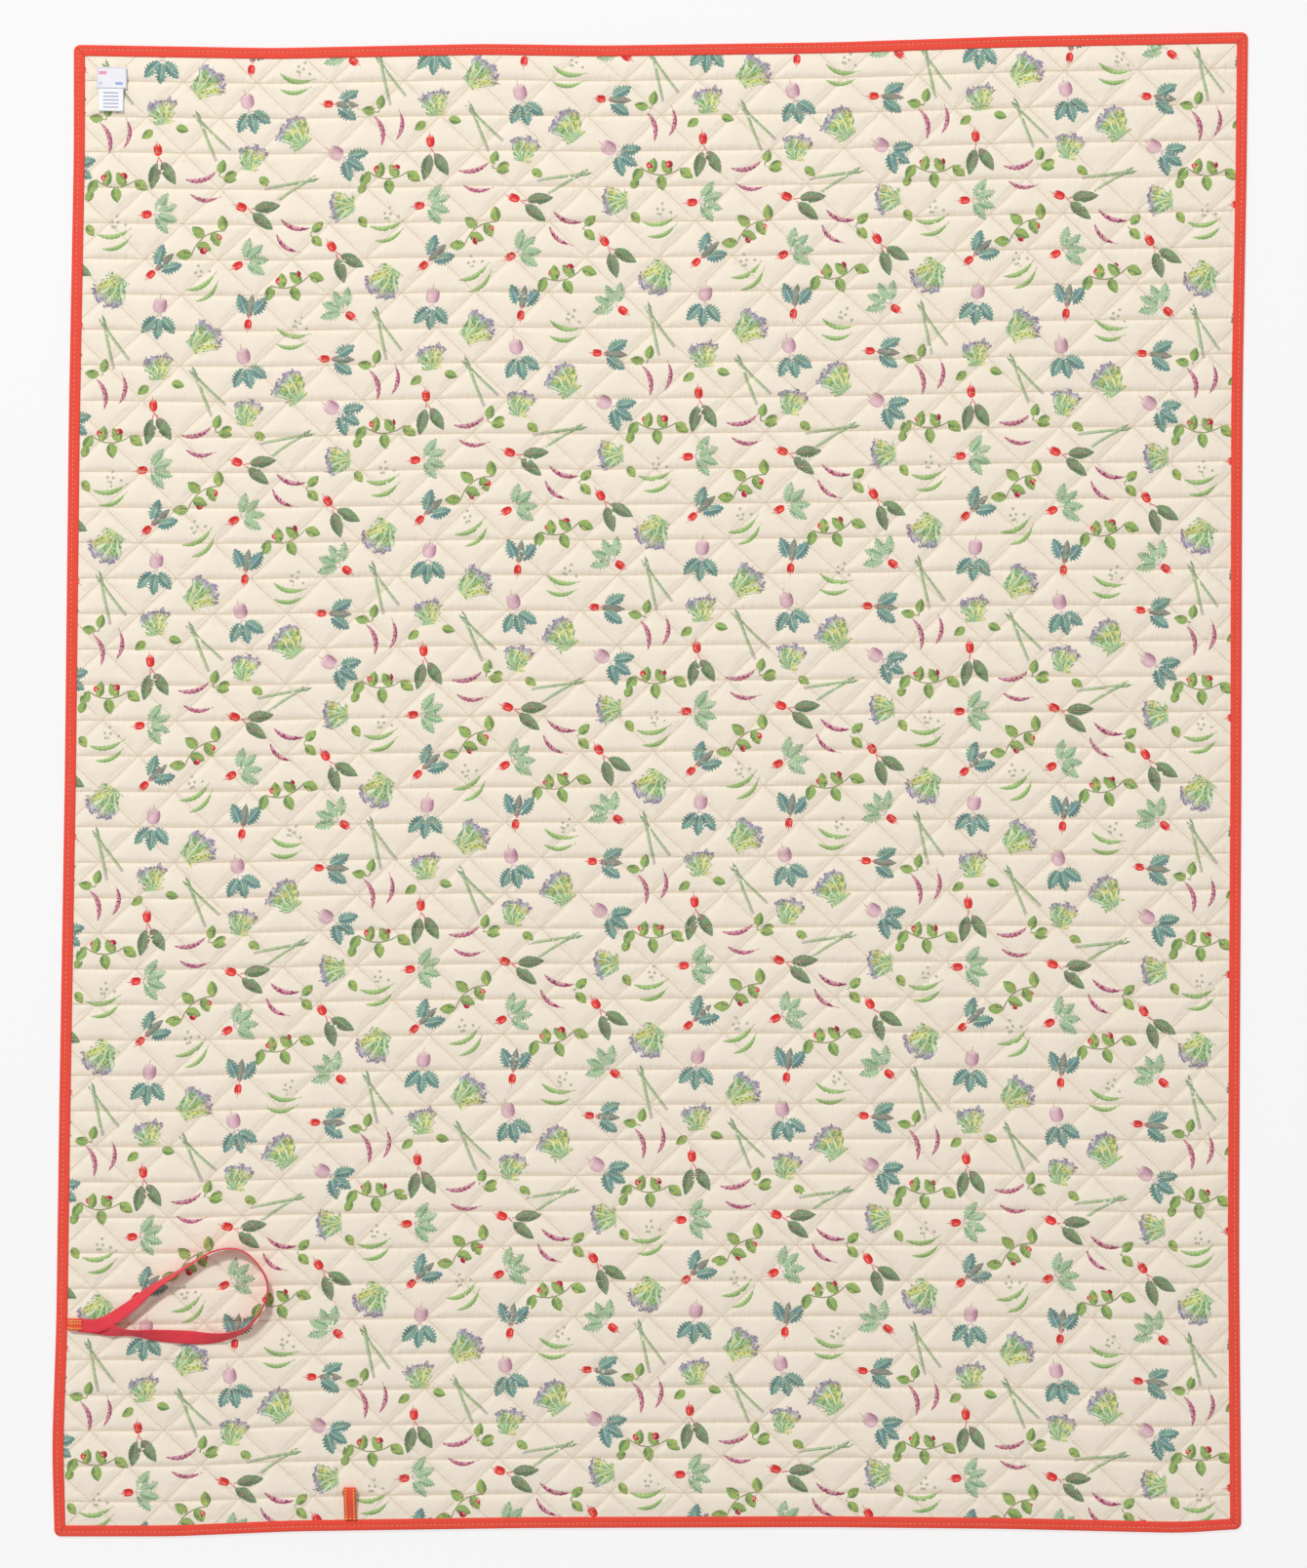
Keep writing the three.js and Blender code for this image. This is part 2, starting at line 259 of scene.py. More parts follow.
class Value:
    """A number in a material. Sums with it add Math nodes."""

    def __init__(self, finish, socket):
        self.finish = finish
        self.socket = socket

    def math(self, operation, *others, clamp=False):
        inputs = dict(enumerate([self, *others]))
        settings = {"operation": operation, "use_clamp": clamp}
        return Value(self.finish, self.finish.node("ShaderNodeMath", settings, inputs).outputs[0])

    def __add__(self, other):
        return self.math("ADD", other)

    def __sub__(self, other):
        return self.math("SUBTRACT", other)

    def __rsub__(self, other):
        return (self * -1) + other

    def __mul__(self, other):
        return self.math("MULTIPLY", other)

    def __truediv__(self, other):
        return self.math("DIVIDE", other)

    def __pow__(self, other):
        return self.math("POWER", other)

    def __abs__(self):
        return self.math("ABSOLUTE")

    def smaller(self, other):
        return self.math("MINIMUM", other)

    def larger(self, other):
        return self.math("MAXIMUM", other)

    def sine(self):
        return self.math("SINE")

    def bounded(self):
        return self.math("ADD", 0.0, clamp=True)

    def ramp(self, start, end):
        """0 before start, 1 after end, and smooth between. Start may be the larger."""
        return self.finish.ramp(self, start, end)

    __radd__ = __add__
    __rmul__ = __mul__


class Finish:
    """A material under construction."""

    def __init__(self, name, constants):
        self.material = bpy.data.materials.new(name)
        self.material.use_nodes = True
        self.tree = self.material.node_tree
        self.shader = self.tree.nodes["Principled BSDF"]
        for socket, value in constants.items():
            self.shader.inputs[socket].default_value = value

    def node(self, kind, settings=None, inputs=None):
        return add_node(self.tree, kind, settings, inputs)

    def ramp(self, value, start, end):
        inputs = {0: value, 1: start, 2: end}
        if start > end:
            inputs = {0: value, 1: end, 2: start, 3: 1.0, 4: 0.0}
        settings = {"interpolation_type": "SMOOTHSTEP"}
        return Value(self, self.node("ShaderNodeMapRange", settings, inputs).outputs[0])

    def mix(self, share, first, second, blend="MIX"):
        """A colour between two colours."""
        settings = {"data_type": "RGBA", "blend_type": blend, "clamp_factor": True}
        return self.node("ShaderNodeMix", settings, {0: share, 6: first, 7: second}).outputs[2]

    def split(self, vector):
        parts = self.node("ShaderNodeSeparateXYZ", inputs={0: vector}).outputs
        return [Value(self, part) for part in parts]

    def attribute(self, name):
        return self.node("ShaderNodeAttribute", {"attribute_name": name}).outputs["Vector"]

    def uv(self, name="cloth"):
        return self.node("ShaderNodeUVMap", {"uv_map": name}).outputs[0]

    def scaled(self, vector, factors):
        settings = {"operation": "MULTIPLY"}
        return self.node("ShaderNodeVectorMath", settings, {0: vector, 1: factors}).outputs[0]

    def noise(self, vector, scale, detail):
        inputs = {"Vector": vector, "Scale": scale, "Detail": detail}
        return Value(self, self.node("ShaderNodeTexNoise", inputs=inputs).outputs[0])

    def bump(self, height, strength, distance, under=None):
        inputs = {"Strength": strength, "Distance": distance, "Height": height}
        if under is not None:
            inputs["Normal"] = under
        return self.node("ShaderNodeBump", inputs=inputs).outputs[0]

    def finish(self, color, normal=None, roughness=None):
        sockets = {"Base Color": color, "Normal": normal, "Roughness": roughness}
        for name, value in sockets.items():
            if value is not None:
                feed(self.tree, self.shader.inputs[name], value)
        return self.material


def rgb(red, green, blue):
    """A colour as it looks on a screen, from 0 to 255, as a linear colour."""
    return tuple((part / 255) ** 2.2 for part in (red, green, blue))


# %% [markdown]
# The quilting is a lattice. Straight seams run across the blanket, and zigzag seams
# run both ways between them, so that all three meet in the same points and the
# cloth puffs up in triangles. Counting in columns and rows makes this simple: a
# straight seam is wherever the row number is whole, and a slanting one is wherever the
# sum or the difference of the two is whole and even.
# The grid of the cloth is finer beside the seams, where the cloth turns sharply.

# %% The lattice
STEPS = np.array([0, 0.055, 0.16, 0.32, 0.5, 0.68, 0.84, 0.945])
EDGE_INSET = 1.1 * MM
PINCH_END = BINDING_WIDTH + 12 * MM
PILLOWS_IN_A_ROW = 128


def grid_lines(cells, pitch):
    """Where the grid's lines cross one side of the blanket, centred on it."""
    lines = np.concatenate([(cell + STEPS) * pitch for cell in range(cells)] + [[cells * pitch]])
    half = cells * pitch / 2
    return np.clip(lines - half, EDGE_INSET - half, half - EDGE_INSET)


def pillow(x, y):
    """How high the cloth puffs at a place, from 0 on a seam to 1 at a pillow's middle."""
    column = x / COLUMN_PITCH + COLUMNS / 2
    row = ROWS / 2 - y / ROW_PITCH
    whole = np.clip(np.floor(row), 0, ROWS - 1)
    down = row - whole

    def shares(apex_parity, rise):
        apex = 2 * np.round((column - apex_parity) / 2) + apex_parity
        side = column - apex
        product = 27 * rise * (1 - rise - side) / 2 * (1 - rise + side) / 2
        inside = np.abs(side) <= 1 - rise
        return np.where(inside, np.clip(product, 0, 1), 0), apex

    upright, first = shares(whole % 2, 1 - down)
    hanging, second = shares((whole + 1) % 2, down)
    upright_wins = upright >= hanging
    number = np.where(upright_wins, first * 2, second * 2 + 1) + whole * PILLOWS_IN_A_ROW
    return np.where(upright_wins, upright, hanging), number.astype(int)


def edge_distance(x, y):
    """How far a place is from the blanket's nearest edge."""
    return np.minimum(WIDTH / 2 - np.abs(x), LENGTH / 2 - np.abs(y))


x_lines = grid_lines(COLUMNS, COLUMN_PITCH)
y_lines = grid_lines(ROWS, ROW_PITCH)
grid_x, grid_y = (side.ravel() for side in np.meshgrid(x_lines, y_lines))
print("grid", len(x_lines), "x", len(y_lines), "points")

# %% [markdown]
# The cover is one closed piece of cloth. Its top is a grid of points lifted into
# pillows, and each grid square is cut in two along the way its seam runs. Its edge is
# squeezed flat where the tape will grip it. The underside is flat, in one large face
# for each half and narrow strips in the middle, where the blanket folds.

# %% Cloth bodies
SEAM_LEVEL = 3.6 * MM
CROWN_LEVEL = 8.2 * MM
RIM_LEVEL = 4.1 * MM
COVER_UNDERSIDE = 2.9 * MM
FOLD_REACH = 30 * MM


def round_corners(x, y):
    """Pulls the points near a corner in to a rounded outline."""
    centre_x = WIDTH / 2 - CORNER_RADIUS
    centre_y = LENGTH / 2 - CORNER_RADIUS
    over_x = np.maximum(np.abs(x) - centre_x, 0)
    over_y = np.maximum(np.abs(y) - centre_y, 0)
    reach = np.hypot(over_x, over_y)
    scale = np.minimum(1, (CORNER_RADIUS - EDGE_INSET) / np.maximum(reach, 1e-9))
    inward = 1 - scale
    return x - np.sign(x) * over_x * inward, y - np.sign(y) * over_y * inward


def cloth_body(name, lines_x, lines_y, relief, flat_level, material, cells=None):
    """A closed sheet with one side in relief and the other flat."""
    across, up = len(lines_x), len(lines_y)
    x, y = (side.ravel() for side in np.meshgrid(lines_x, lines_y))
    x, y = round_corners(x, y)
    number, faces = net_faces(across, up, cells)
    faces = faces.tolist()
    ring = border(number)
    flat = {point: across * up + place for place, point in enumerate(ring)}
    faces += [(q, p, flat[p], flat[q]) for p, q in zip(ring, ring[1:] + ring[:1])]
    low = int(np.searchsorted(lines_y, -FOLD_REACH))
    high = int(np.searchsorted(lines_y, FOLD_REACH))
    left, right = number[:, 0], number[:, -1]
    lower_half = [*left[:low + 1], *right[low::-1], *number[0, -2:0:-1]]
    upper_half = [*left[high:], *number[-1, 1:-1], *right[:high - 1:-1]]
    strips = [(left[k], left[k + 1], right[k + 1], right[k]) for k in range(low, high)]
    faces += [[flat[point] for point in face] for face in [lower_half, upper_half, *strips]]
    points = np.stack([x, y, relief], 1)
    rim = points[ring]
    rim[:, 2] = flat_level
    points = np.concatenate([points, rim])
    if flat_level > relief.mean():
        faces = [face[::-1] for face in faces]
    piece = make_piece(name, points, faces, material)
    add_uv(piece, points)
    return piece, points


def squeeze(x, y, field, rim):
    """Blends from the squeezed rim to the field's height."""
    share = np.clip((edge_distance(x, y) - BINDING_WIDTH) / (PINCH_END - BINDING_WIDTH), 0, 1)
    return rim + (field - rim) * share * share * (3 - 2 * share)


# %% [markdown]
# Nobody shapes a quilt's pillows one by one. The seams hold the cloth down, the
# wadding pushes it up everywhere else, and the cloth finds its own shape. A cloth
# simulation does the same: the points on the seams and under the tape are pinned, air
# pressure stands in for the wadding, and gravity is off. It runs on an even net, as an
# uneven one would bend where its lines are close, and the cover's grid reads its height.
# The cover's height is half the simulated one and half the plain pillow from above.

# %% Let the wadding push the cover up
SIM_SCALE = 10
SIM_FRAMES = 20
SIM_STEPS = 6
EXTRA_CLOTH = -0.012
SIM_SHARE = 0.5
SIM_ROUNDING = 0.6
PILLOW_ROUNDING = 0.42


def sim_net():
    """An even net over the blanket, split along the seams: x, y and the faces."""
    net_x = np.linspace(-WIDTH / 2, WIDTH / 2, COLUMNS * SIM_STEPS + 1)
    net_y = np.linspace(-LENGTH / 2, LENGTH / 2, ROWS * SIM_STEPS + 1)
    x, y = (side.ravel() for side in np.meshgrid(net_x, net_y))
    _, faces = net_faces(len(net_x), len(net_y), SIM_STEPS)
    return x, y, faces.tolist()


def inflate():
    """Simulates the cover on the even net and returns its heights as a table."""
    x, y, faces = sim_net()
    rise, _ = pillow(x, y)
    start = 2 * MM * rise + rng.normal(0, 0.05 * MM, len(x)) * (rise > 0.01)
    mesh = bpy.data.meshes.new("cloth_test")
    mesh.from_pydata((np.stack([x, y, start], 1) * SIM_SCALE).tolist(), [], faces)
    cloth = put_in_scene("cloth_test", mesh)
    pins = cloth.vertex_groups.new(name="pins")
    pinned = (rise < 0.001) | (edge_distance(x, y) < BINDING_WIDTH)
    pins.add(np.flatnonzero(pinned).tolist(), 1.0, "REPLACE")
    modifier = cloth.modifiers.new("cloth", "CLOTH")
    settings = modifier.settings
    settings.quality = 4
    settings.mass = 0.3
    settings.tension_stiffness = 10
    settings.compression_stiffness = 10
    settings.shear_stiffness = 5
    settings.bending_stiffness = 0.6
    settings.tension_damping = 12
    settings.compression_damping = 12
    settings.vertex_group_mass = "pins"
    settings.shrink_min = EXTRA_CLOTH
    settings.use_pressure = True
    settings.uniform_pressure_force = 4
    settings.effector_weights.gravity = 0
    modifier.collision_settings.use_collision = False
    modifier.point_cache.frame_start = 1
    modifier.point_cache.frame_end = SIM_FRAMES
    scene = bpy.context.scene
    for number in range(1, SIM_FRAMES + 1):
        scene.frame_set(number)
    ready = cloth.evaluated_get(bpy.context.evaluated_depsgraph_get())
    table = mesh_points(ready.data)[:, 2].reshape(ROWS * SIM_STEPS + 1, -1) / SIM_SCALE
    bpy.data.objects.remove(cloth)
    scene.frame_set(1)
    return table


def read_heights(table, x, y):
    """Heights at any place, read from the net's triangles so that creases stay sharp."""
    across = np.clip((x / COLUMN_PITCH + COLUMNS / 2) * SIM_STEPS, 0, table.shape[1] - 1.001)
    up = np.clip((y / ROW_PITCH + ROWS / 2) * SIM_STEPS, 0, table.shape[0] - 1.001)
    column, row = np.floor(across).astype(int), np.floor(up).astype(int)
    s, t = across - column, up - row
    rising = (column // SIM_STEPS + row // SIM_STEPS) % 2 == 0
    low_left, low_right = table[row, column], table[row, column + 1]
    high_left, high_right = table[row + 1, column], table[row + 1, column + 1]
    saddle = low_left + high_right - low_right - high_left
    fold = np.where(rising, np.minimum(s, t), np.maximum(s + t - 1, 0))
    return low_left + s * (low_right - low_left) + t * (high_left - low_left) + fold * saddle


rng = np.random.default_rng(7)
puff, pillow_number = pillow(grid_x, grid_y)
fullness = 0.86 + 0.14 * rng.random(pillow_number.max() + 1)[pillow_number]
formed = puff ** PILLOW_ROUNDING
heights = inflate()
risen = np.clip(read_heights(heights, grid_x, grid_y) / np.percentile(heights, 99), 0, 1)
formed = SIM_SHARE * risen ** SIM_ROUNDING + (1 - SIM_SHARE) * formed
print("simulated pillows up to", round(heights.max() / MM, 2), "mm before scaling")
field_level = SEAM_LEVEL + (CROWN_LEVEL - SEAM_LEVEL) * formed * fullness
cover_top = squeeze(grid_x, grid_y, field_level, RIM_LEVEL)
print("cover top from", round(cover_top.min() / MM, 2), "to", round(cover_top.max() / MM, 2), "mm")

# %% [markdown]
# The cover has a garden print of its own, laid out by rule. First come the sprigs. A
# motif is written as the two ends of its middle line, and a stem as the three points
# of a bow, in millimetres from the middle of the sprig, with y running down. `fan`
# spreads leaves from one foot, which makes a bunch when a root hangs below it.
# `MOTIF_WIDTHS` gives half of each motif's width, as a share of its length.

# %% Sprigs of the print
MOTIF_WIDTHS = {
    "lettuce": 0.47, "radish": 0.36, "turnip": 0.42, "berry": 0.55, "dark_leaf": 0.25,
    "fresh_leaf": 0.34, "grey_leaf": 0.22, "teal_leaf": 0.3, "pale_leaf": 0.27,
    "asparagus": 0.05, "pea_pod": 0.16, "bean_pod": 0.15, "peas": 0.5,
}
STEM_KINDS = ("stem", "twig", "pale_stem")
TWIG_SPREAD, TWIG_LEAN, TWIG_LEAF = 88, 14, 19


def heading(angle):
    """A step of one millimetre at an angle in degrees from straight up."""
    turn = math.radians(angle)
    return np.array([math.sin(turn), -math.cos(turn)])


def motif(kind, start, angle, length):
    """One motif from its start, along a heading."""
    return kind, [np.array(start, float), start + heading(angle) * length]


def fan(leaf, stem, foot, angles, gap, length):
    """Leaves that spread from one foot, each on its own short stem."""
    parts = []
    for angle in angles:
        top = foot + heading(angle) * gap
        parts.append((stem, [np.array(foot, float), foot + heading(angle * 0.4) * gap / 2, top]))
        parts.append(motif(leaf, top, angle, length))
    return parts


def berry_twig():
    """A bowed twig with leaves on alternate sides and two berries below."""
    low, bend, high = np.array([(-24, 10), (0, -9), (24, 8)], float)
    parts = [("twig", [low, bend, high])]
    for place, share in enumerate((0.02, 0.26, 0.5, 0.74, 0.98)):
        foot = low * (1 - share) ** 2 + bend * 2 * share * (1 - share) + high * share ** 2
        outward = 180 * (place % 2) + (share - 0.5) * TWIG_SPREAD
        parts.append(motif("fresh_leaf", foot, outward - TWIG_LEAN, TWIG_LEAF))
    parts.append(motif("berry", (-8, 8), 190, 10))
    parts.append(motif("berry", (12, 6), 165, 10))
    return parts


SPRIGS = [
    [motif("lettuce", (0, 19), 0, 40)],
    fan("dark_leaf", "stem", (0, 6), (-26, 18), 8, 32) + [motif("radish", (0, 7), 180, 17)],
    berry_twig(),
    fan("teal_leaf", "pale_stem", (0, 2), (-42, 0, 40), 5, 26)
    + [motif("turnip", (0, 3), 180, 22)],
    [motif("asparagus", (-10, 34), 13, 68), motif("asparagus", (11, 33), -11, 64)],
    fan("pale_leaf", "pale_stem", (0, 6), (-50, -14, 24, 60), 5, 25)
    + [motif("radish", (0, 8), 180, 16)],
    [motif("pea_pod", (-16, 14), 34, 38), motif("pea_pod", (2, 20), 20, 34),
     motif("peas", (-22, -14), 90, 24)],
    [motif("lettuce", (0, 16), 0, 33), motif("fresh_leaf", (-14, 22), -120, 16),
     motif("fresh_leaf", (14, 22), 115, 16)],
    [motif("bean_pod", (-10, 20), 4, 38), motif("bean_pod", (8, 20), 26, 34)]
    + fan("fresh_leaf", "twig", (-2, -20), (-60, 30), 4, 17),
    fan("teal_leaf", "stem", (0, 8), (-30, 34), 6, 27)
    + [motif("grey_leaf", (0, 6), 2, 28), motif("radish", (0, 9), 180, 15)],
]
print(len(SPRIGS), "sprigs of", len(MOTIF_WIDTHS), "kinds of motif")

# %% [markdown]
# One repeat has six columns of five sprigs. Every second column drops by half a step,
# as on wallpaper, so no straight lanes show. The sprigs take turns, and a seeded draw
# turns each one its own way and nudges it, so that the rule behind them is hard to
# see. The rows of the print bow down towards the sides, as if the cloth was stretched a
# little when it was quilted.

# %% Lay out one repeat
REPEAT_X, REPEAT_Y = 325, 305
SPRIG_COLUMNS, SPRIG_ROWS = 6, 5
COLUMN_TURN, ROW_TURN = 3, 4
NUDGE = 3
PRINT_BOW = 15
GIVES_WAY = {"peas": 3.5, "lettuce": 1.5, "asparagus": 0.5}
SHEET_OF_KIND = {kind: place + 1 for place, kind in enumerate(MOTIF_WIDTHS)}


def lay_out_print(seed):
    """Every motif and stem of one repeat, by kind."""
    draw = np.random.default_rng(seed)
    motifs = {kind: [] for kind in (*MOTIF_WIDTHS, *STEM_KINDS)}
    for column in range(SPRIG_COLUMNS):
        for row in range(SPRIG_ROWS):
            sprig = SPRIGS[(COLUMN_TURN * column + ROW_TURN * row) % len(SPRIGS)]
            middle = np.array([column * REPEAT_X / SPRIG_COLUMNS,
                               (row + column % 2 / 2) * REPEAT_Y / SPRIG_ROWS])
            middle += draw.uniform(-NUDGE, NUDGE, 2)
            turn = draw.uniform(0, 2 * math.pi)
            turned = np.array([[math.cos(turn), math.sin(turn)],
                               [-math.sin(turn), math.cos(turn)]])
            for kind, places in sprig:
                motifs[kind].append(np.array(places) @ turned + middle)
    return motifs


MOTIFS = lay_out_print(seed=11)
print("one repeat has", sum(len(places) for places in MOTIFS.values()), "motifs and stems")


def print_place(points):
    """Where points of the flat blanket are on the print, in millimetres, y downward."""
    flat = np.array(points, float)
    bow = PRINT_BOW * (flat[:, 0] * 2 / WIDTH) ** 2
    return np.stack([flat[:, 0] / MM, -flat[:, 1] / MM - bow], 1)


def wrapped(places, centre):
    """How far places are from the nearest repeat of a centre."""
    pitch = np.array([REPEAT_X, REPEAT_Y])
    return (places - centre + pitch / 2) % pitch - pitch / 2


# %% [markdown]
# Every small face of the cover finds the motif that lies nearest to it. Its corners
# then carry their place along and across that motif, counted in motif lengths, and a
# third number that differs from motif to motif. The finish only has to know how to
# draw one leaf from 0 to 1, and the mesh puts it in the right place at the right size.
# A face can take paint from a few millimetres outside a motif, as its edges wander.

# %% Put the motifs on the faces
MOTIF_MARGIN = 5.0
STEM_REACH = 9.0
STEM_MARGIN = 14
STEM_POINTS = 7
NO_STEM = (0, 9, 0)


def print_motifs(piece, points):
    """Gives each face its motif: a finish number and the corners' place on the motif."""
    mesh = piece.data
    triangles = sum(1 for face in mesh.polygons if len(face.vertices) == 3)
    corners = loop_points(mesh)[:triangles * 3]
    corner_places = print_place(points)[corners].reshape(-1, 3, 2)
    middles = corner_places.mean(axis=1)
    nearest = np.full(triangles, MOTIF_MARGIN)
    kinds = np.zeros(triangles, int)
    on_motif = np.zeros((triangles, 3, 3))
    number = 0
    for kind, width in MOTIF_WIDTHS.items():
        for start, tip in MOTIFS[kind]:
            number += 1
            length = np.hypot(*(tip - start))
            along = (tip - start) / length
            across = np.array([-along[1], along[0]])
            offset = wrapped(middles, (start + tip) / 2)
            beyond = np.maximum(np.abs(offset @ along) - length * (0.5 - width), 0)
            distance = np.hypot(beyond, offset @ across) - width * length
            distance += GIVES_WAY.get(kind, 0)
            wins = distance < nearest
            nearest[wins] = distance[wins]
            kinds[wins] = SHEET_OF_KIND[kind]
            corner_offset = wrapped(corner_places[wins], (start + tip) / 2)
            on_motif[wins, :, 0] = corner_offset @ along / length + 0.5
            on_motif[wins, :, 1] = corner_offset @ across / length
            on_motif[wins, :, 2] = number
    mesh.polygons.foreach_set("material_index", np.pad(kinds, (0, len(mesh.polygons) - triangles)))
    store_corners(mesh, "motif", on_motif)
    print("motifs on", int((kinds > 0).sum()), "of", triangles, "faces")
    store_corners(mesh, "stem", stem_lines(corner_places, middles), NO_STEM)


def stem_lines(corner_places, middles):
    """For each corner: its place along the nearest stem, how far aside, and the stem's kind."""
    nearest = np.full(len(middles), STEM_REACH)
    stems = np.tile(np.array(NO_STEM, float), (len(middles), 3, 1))
    t = np.linspace(0, 1, STEM_POINTS)[:, None]
    for kind_number, kind in enumerate(STEM_KINDS):
        for first, middle, last in MOTIFS[kind]:
            line = first * (1 - t) ** 2 + middle * 2 * t * (1 - t) + last * t ** 2
            centre = line[STEM_POINTS // 2]
            reach = np.hypot(*(last - first)) / 2 + STEM_MARGIN
            close = np.flatnonzero(np.hypot(*wrapped(middles, centre).T) < reach)
            offset = wrapped(middles[close], centre) + centre
            _, aside, distance = along_line(offset, line)
            wins = distance < nearest[close]
            chosen = close[wins]
            nearest[chosen] = distance[wins]
            places = wrapped(corner_places[chosen], centre) + centre
            along, aside, _ = along_line(places.reshape(-1, 2), line)
            stems[chosen, :, 0] = along.reshape(-1, 3)
            stems[chosen, :, 1] = aside.reshape(-1, 3)
            stems[chosen, :, 2] = kind_number
    return stems


def along_line(places, line):
    """Place along a line of points from 0 to 1, signed distance aside, and distance."""
    best = np.full(len(places), 1e9)
    along, aside = np.zeros((2, len(places)))
    last = len(line) - 2
    for part, (start, end) in enumerate(zip(line, line[1:])):
        step = end - start
        length = np.hypot(*step)
        free = (places - start) @ step / length ** 2
        bounded = np.clip(free, 0, 1)
        distance = np.hypot(*(places - start - bounded[:, None] * step).T)
        side = (places - start) @ np.array([-step[1], step[0]]) / length
        wins = distance < best
        low = -9 if part == 0 else 0
        high = 9 if part == last else 1
        best = np.where(wins, distance, best)
        along = np.where(wins, (part + np.clip(free, low, high)) / (last + 1), along)
        joined = np.sign(side) * np.where((free < 0) & (part > 0) | (free > 1) & (part < last),
                                          distance, np.abs(side))
        aside = np.where(wins, joined, aside)
    return along, aside, best


def store_corners(mesh, name, values, elsewhere=(0, 0, 0)):
    """Saves a vector for each corner of the triangles, and one value for other faces."""
    data = np.tile(np.array(elsewhere, float), (len(mesh.loops), 1))
    data[:values.shape[0] * 3] = values.reshape(-1, 3)
    mesh.attributes.new(name, "FLOAT_VECTOR", "CORNER").data.foreach_set("vector", data.ravel())


# %% [markdown]
# The print is watercolour: soft edges, pale washes and darker strokes. Each drawing
# function gets the place on its motif, `u` from 0 to 1 along it and `v` across it, and
# a slow noise for the wash. It returns the paint's colour and how much of it there is.

# %% Drawing the motifs
CREAM = rgb(248, 236, 218)
# The colour of the shade painted down in the seams.
CREASE_SHADE = rgb(212, 196, 172)
PINK = rgb(214, 92, 98)


def draw_leaf(dark, light, vein, blush, width, teeth):
    """A pointed leaf with a middle vein, side veins and patches of a second tone."""
    def draw(f, u, v, wash, fine):
        side = abs(v)
        saw = (u * 44 + wash * 9).sine() * teeth
        shape = (u.larger(0) ** 0.62) * ((1 - u).larger(0) ** 0.85) * 2.65
        outline = shape * width * (0.82 + saw + wash * 0.36)
        amount = f.ramp(outline - side, 0.0, 0.035)
        strokes = f.ramp((u * 40 - side * 75 + fine * 5).sine(), 0.1, 0.9)
        shade = f.ramp(v + (wash - 0.5) * 0.5, -0.1, 0.1) * 0.6 + (fine - 0.42) * 1.5
        color = f.mix((shade + strokes * 0.25).bounded(), light, dark)
        color = f.mix(f.ramp(wash + (fine - 0.5) * 0.6, 0.52, 0.66) * 0.8, color, blush)
        color = f.mix(strokes * f.ramp(fine, 0.45, 0.6) * 0.3, color, vein)
        color = f.mix(f.ramp(side, 0.022, 0.006) * f.ramp(u, 0.9, 0.6) * 0.8, color, vein)
        edge = f.ramp(outline - side, 0.06, 0.015) * 0.6
        return f.mix(edge, color, dark), amount * (0.84 + fine * 0.2)
    return draw


def draw_lettuce(f, u, v, wash, fine):
    """A frilled fan: pale ribs from the foot, yellow green inside, purple at the rim."""
    radius = (u * u + v * v) ** 0.5
    angle = v.math("ARCTAN2", u)
    frill = (angle * 23 + wash * 12).sine() * 0.035 + (fine - 0.5) * 0.3
    lobes = (angle * 6 + wash * 10).sine() * 0.06
    outline = 0.98 - abs(angle) * 0.16 + frill + lobes
    sides = f.ramp(0.3 + u * 0.36 + frill + lobes - abs(v), 0, 0.04)
    amount = f.ramp(outline - radius, 0, 0.04) * sides * f.ramp(u, -0.06, 0.03)
    green = f.mix(f.ramp(fine, 0.35, 0.65), rgb(172, 202, 140), rgb(118, 166, 110))
    yellow = f.mix(f.ramp(fine, 0.4, 0.6), rgb(226, 222, 138), rgb(190, 196, 92))
    color = f.mix(f.ramp(wash - v * 0.35, 0.38, 0.54), yellow, green)
    color = f.mix(f.ramp(fine - wash * 0.3, 0.36, 0.52) * 0.7, color, rgb(86, 142, 92))
    ribs = f.ramp((angle * 13 + wash * 7 + fine * 1.5).sine(), 0.45, 0.9)
    color = f.mix(ribs * 0.8, color, rgb(224, 236, 206))
    rim = f.ramp(outline - radius, 0.34, 0.06).larger(f.ramp(sides, 1.0, 0.6))
    rim = (rim * f.ramp(fine + wash * 0.35, 0.46, 0.7)).bounded()
    purple = f.mix(f.ramp(fine, 0.4, 0.6), rgb(190, 172, 206), rgb(134, 116, 152))
    color = f.mix(rim, color, purple)
    outer = f.ramp(outline - radius, 0.07, 0.01) * 0.5
    return f.mix(outer, color, rgb(120, 118, 128)), amount * 0.95


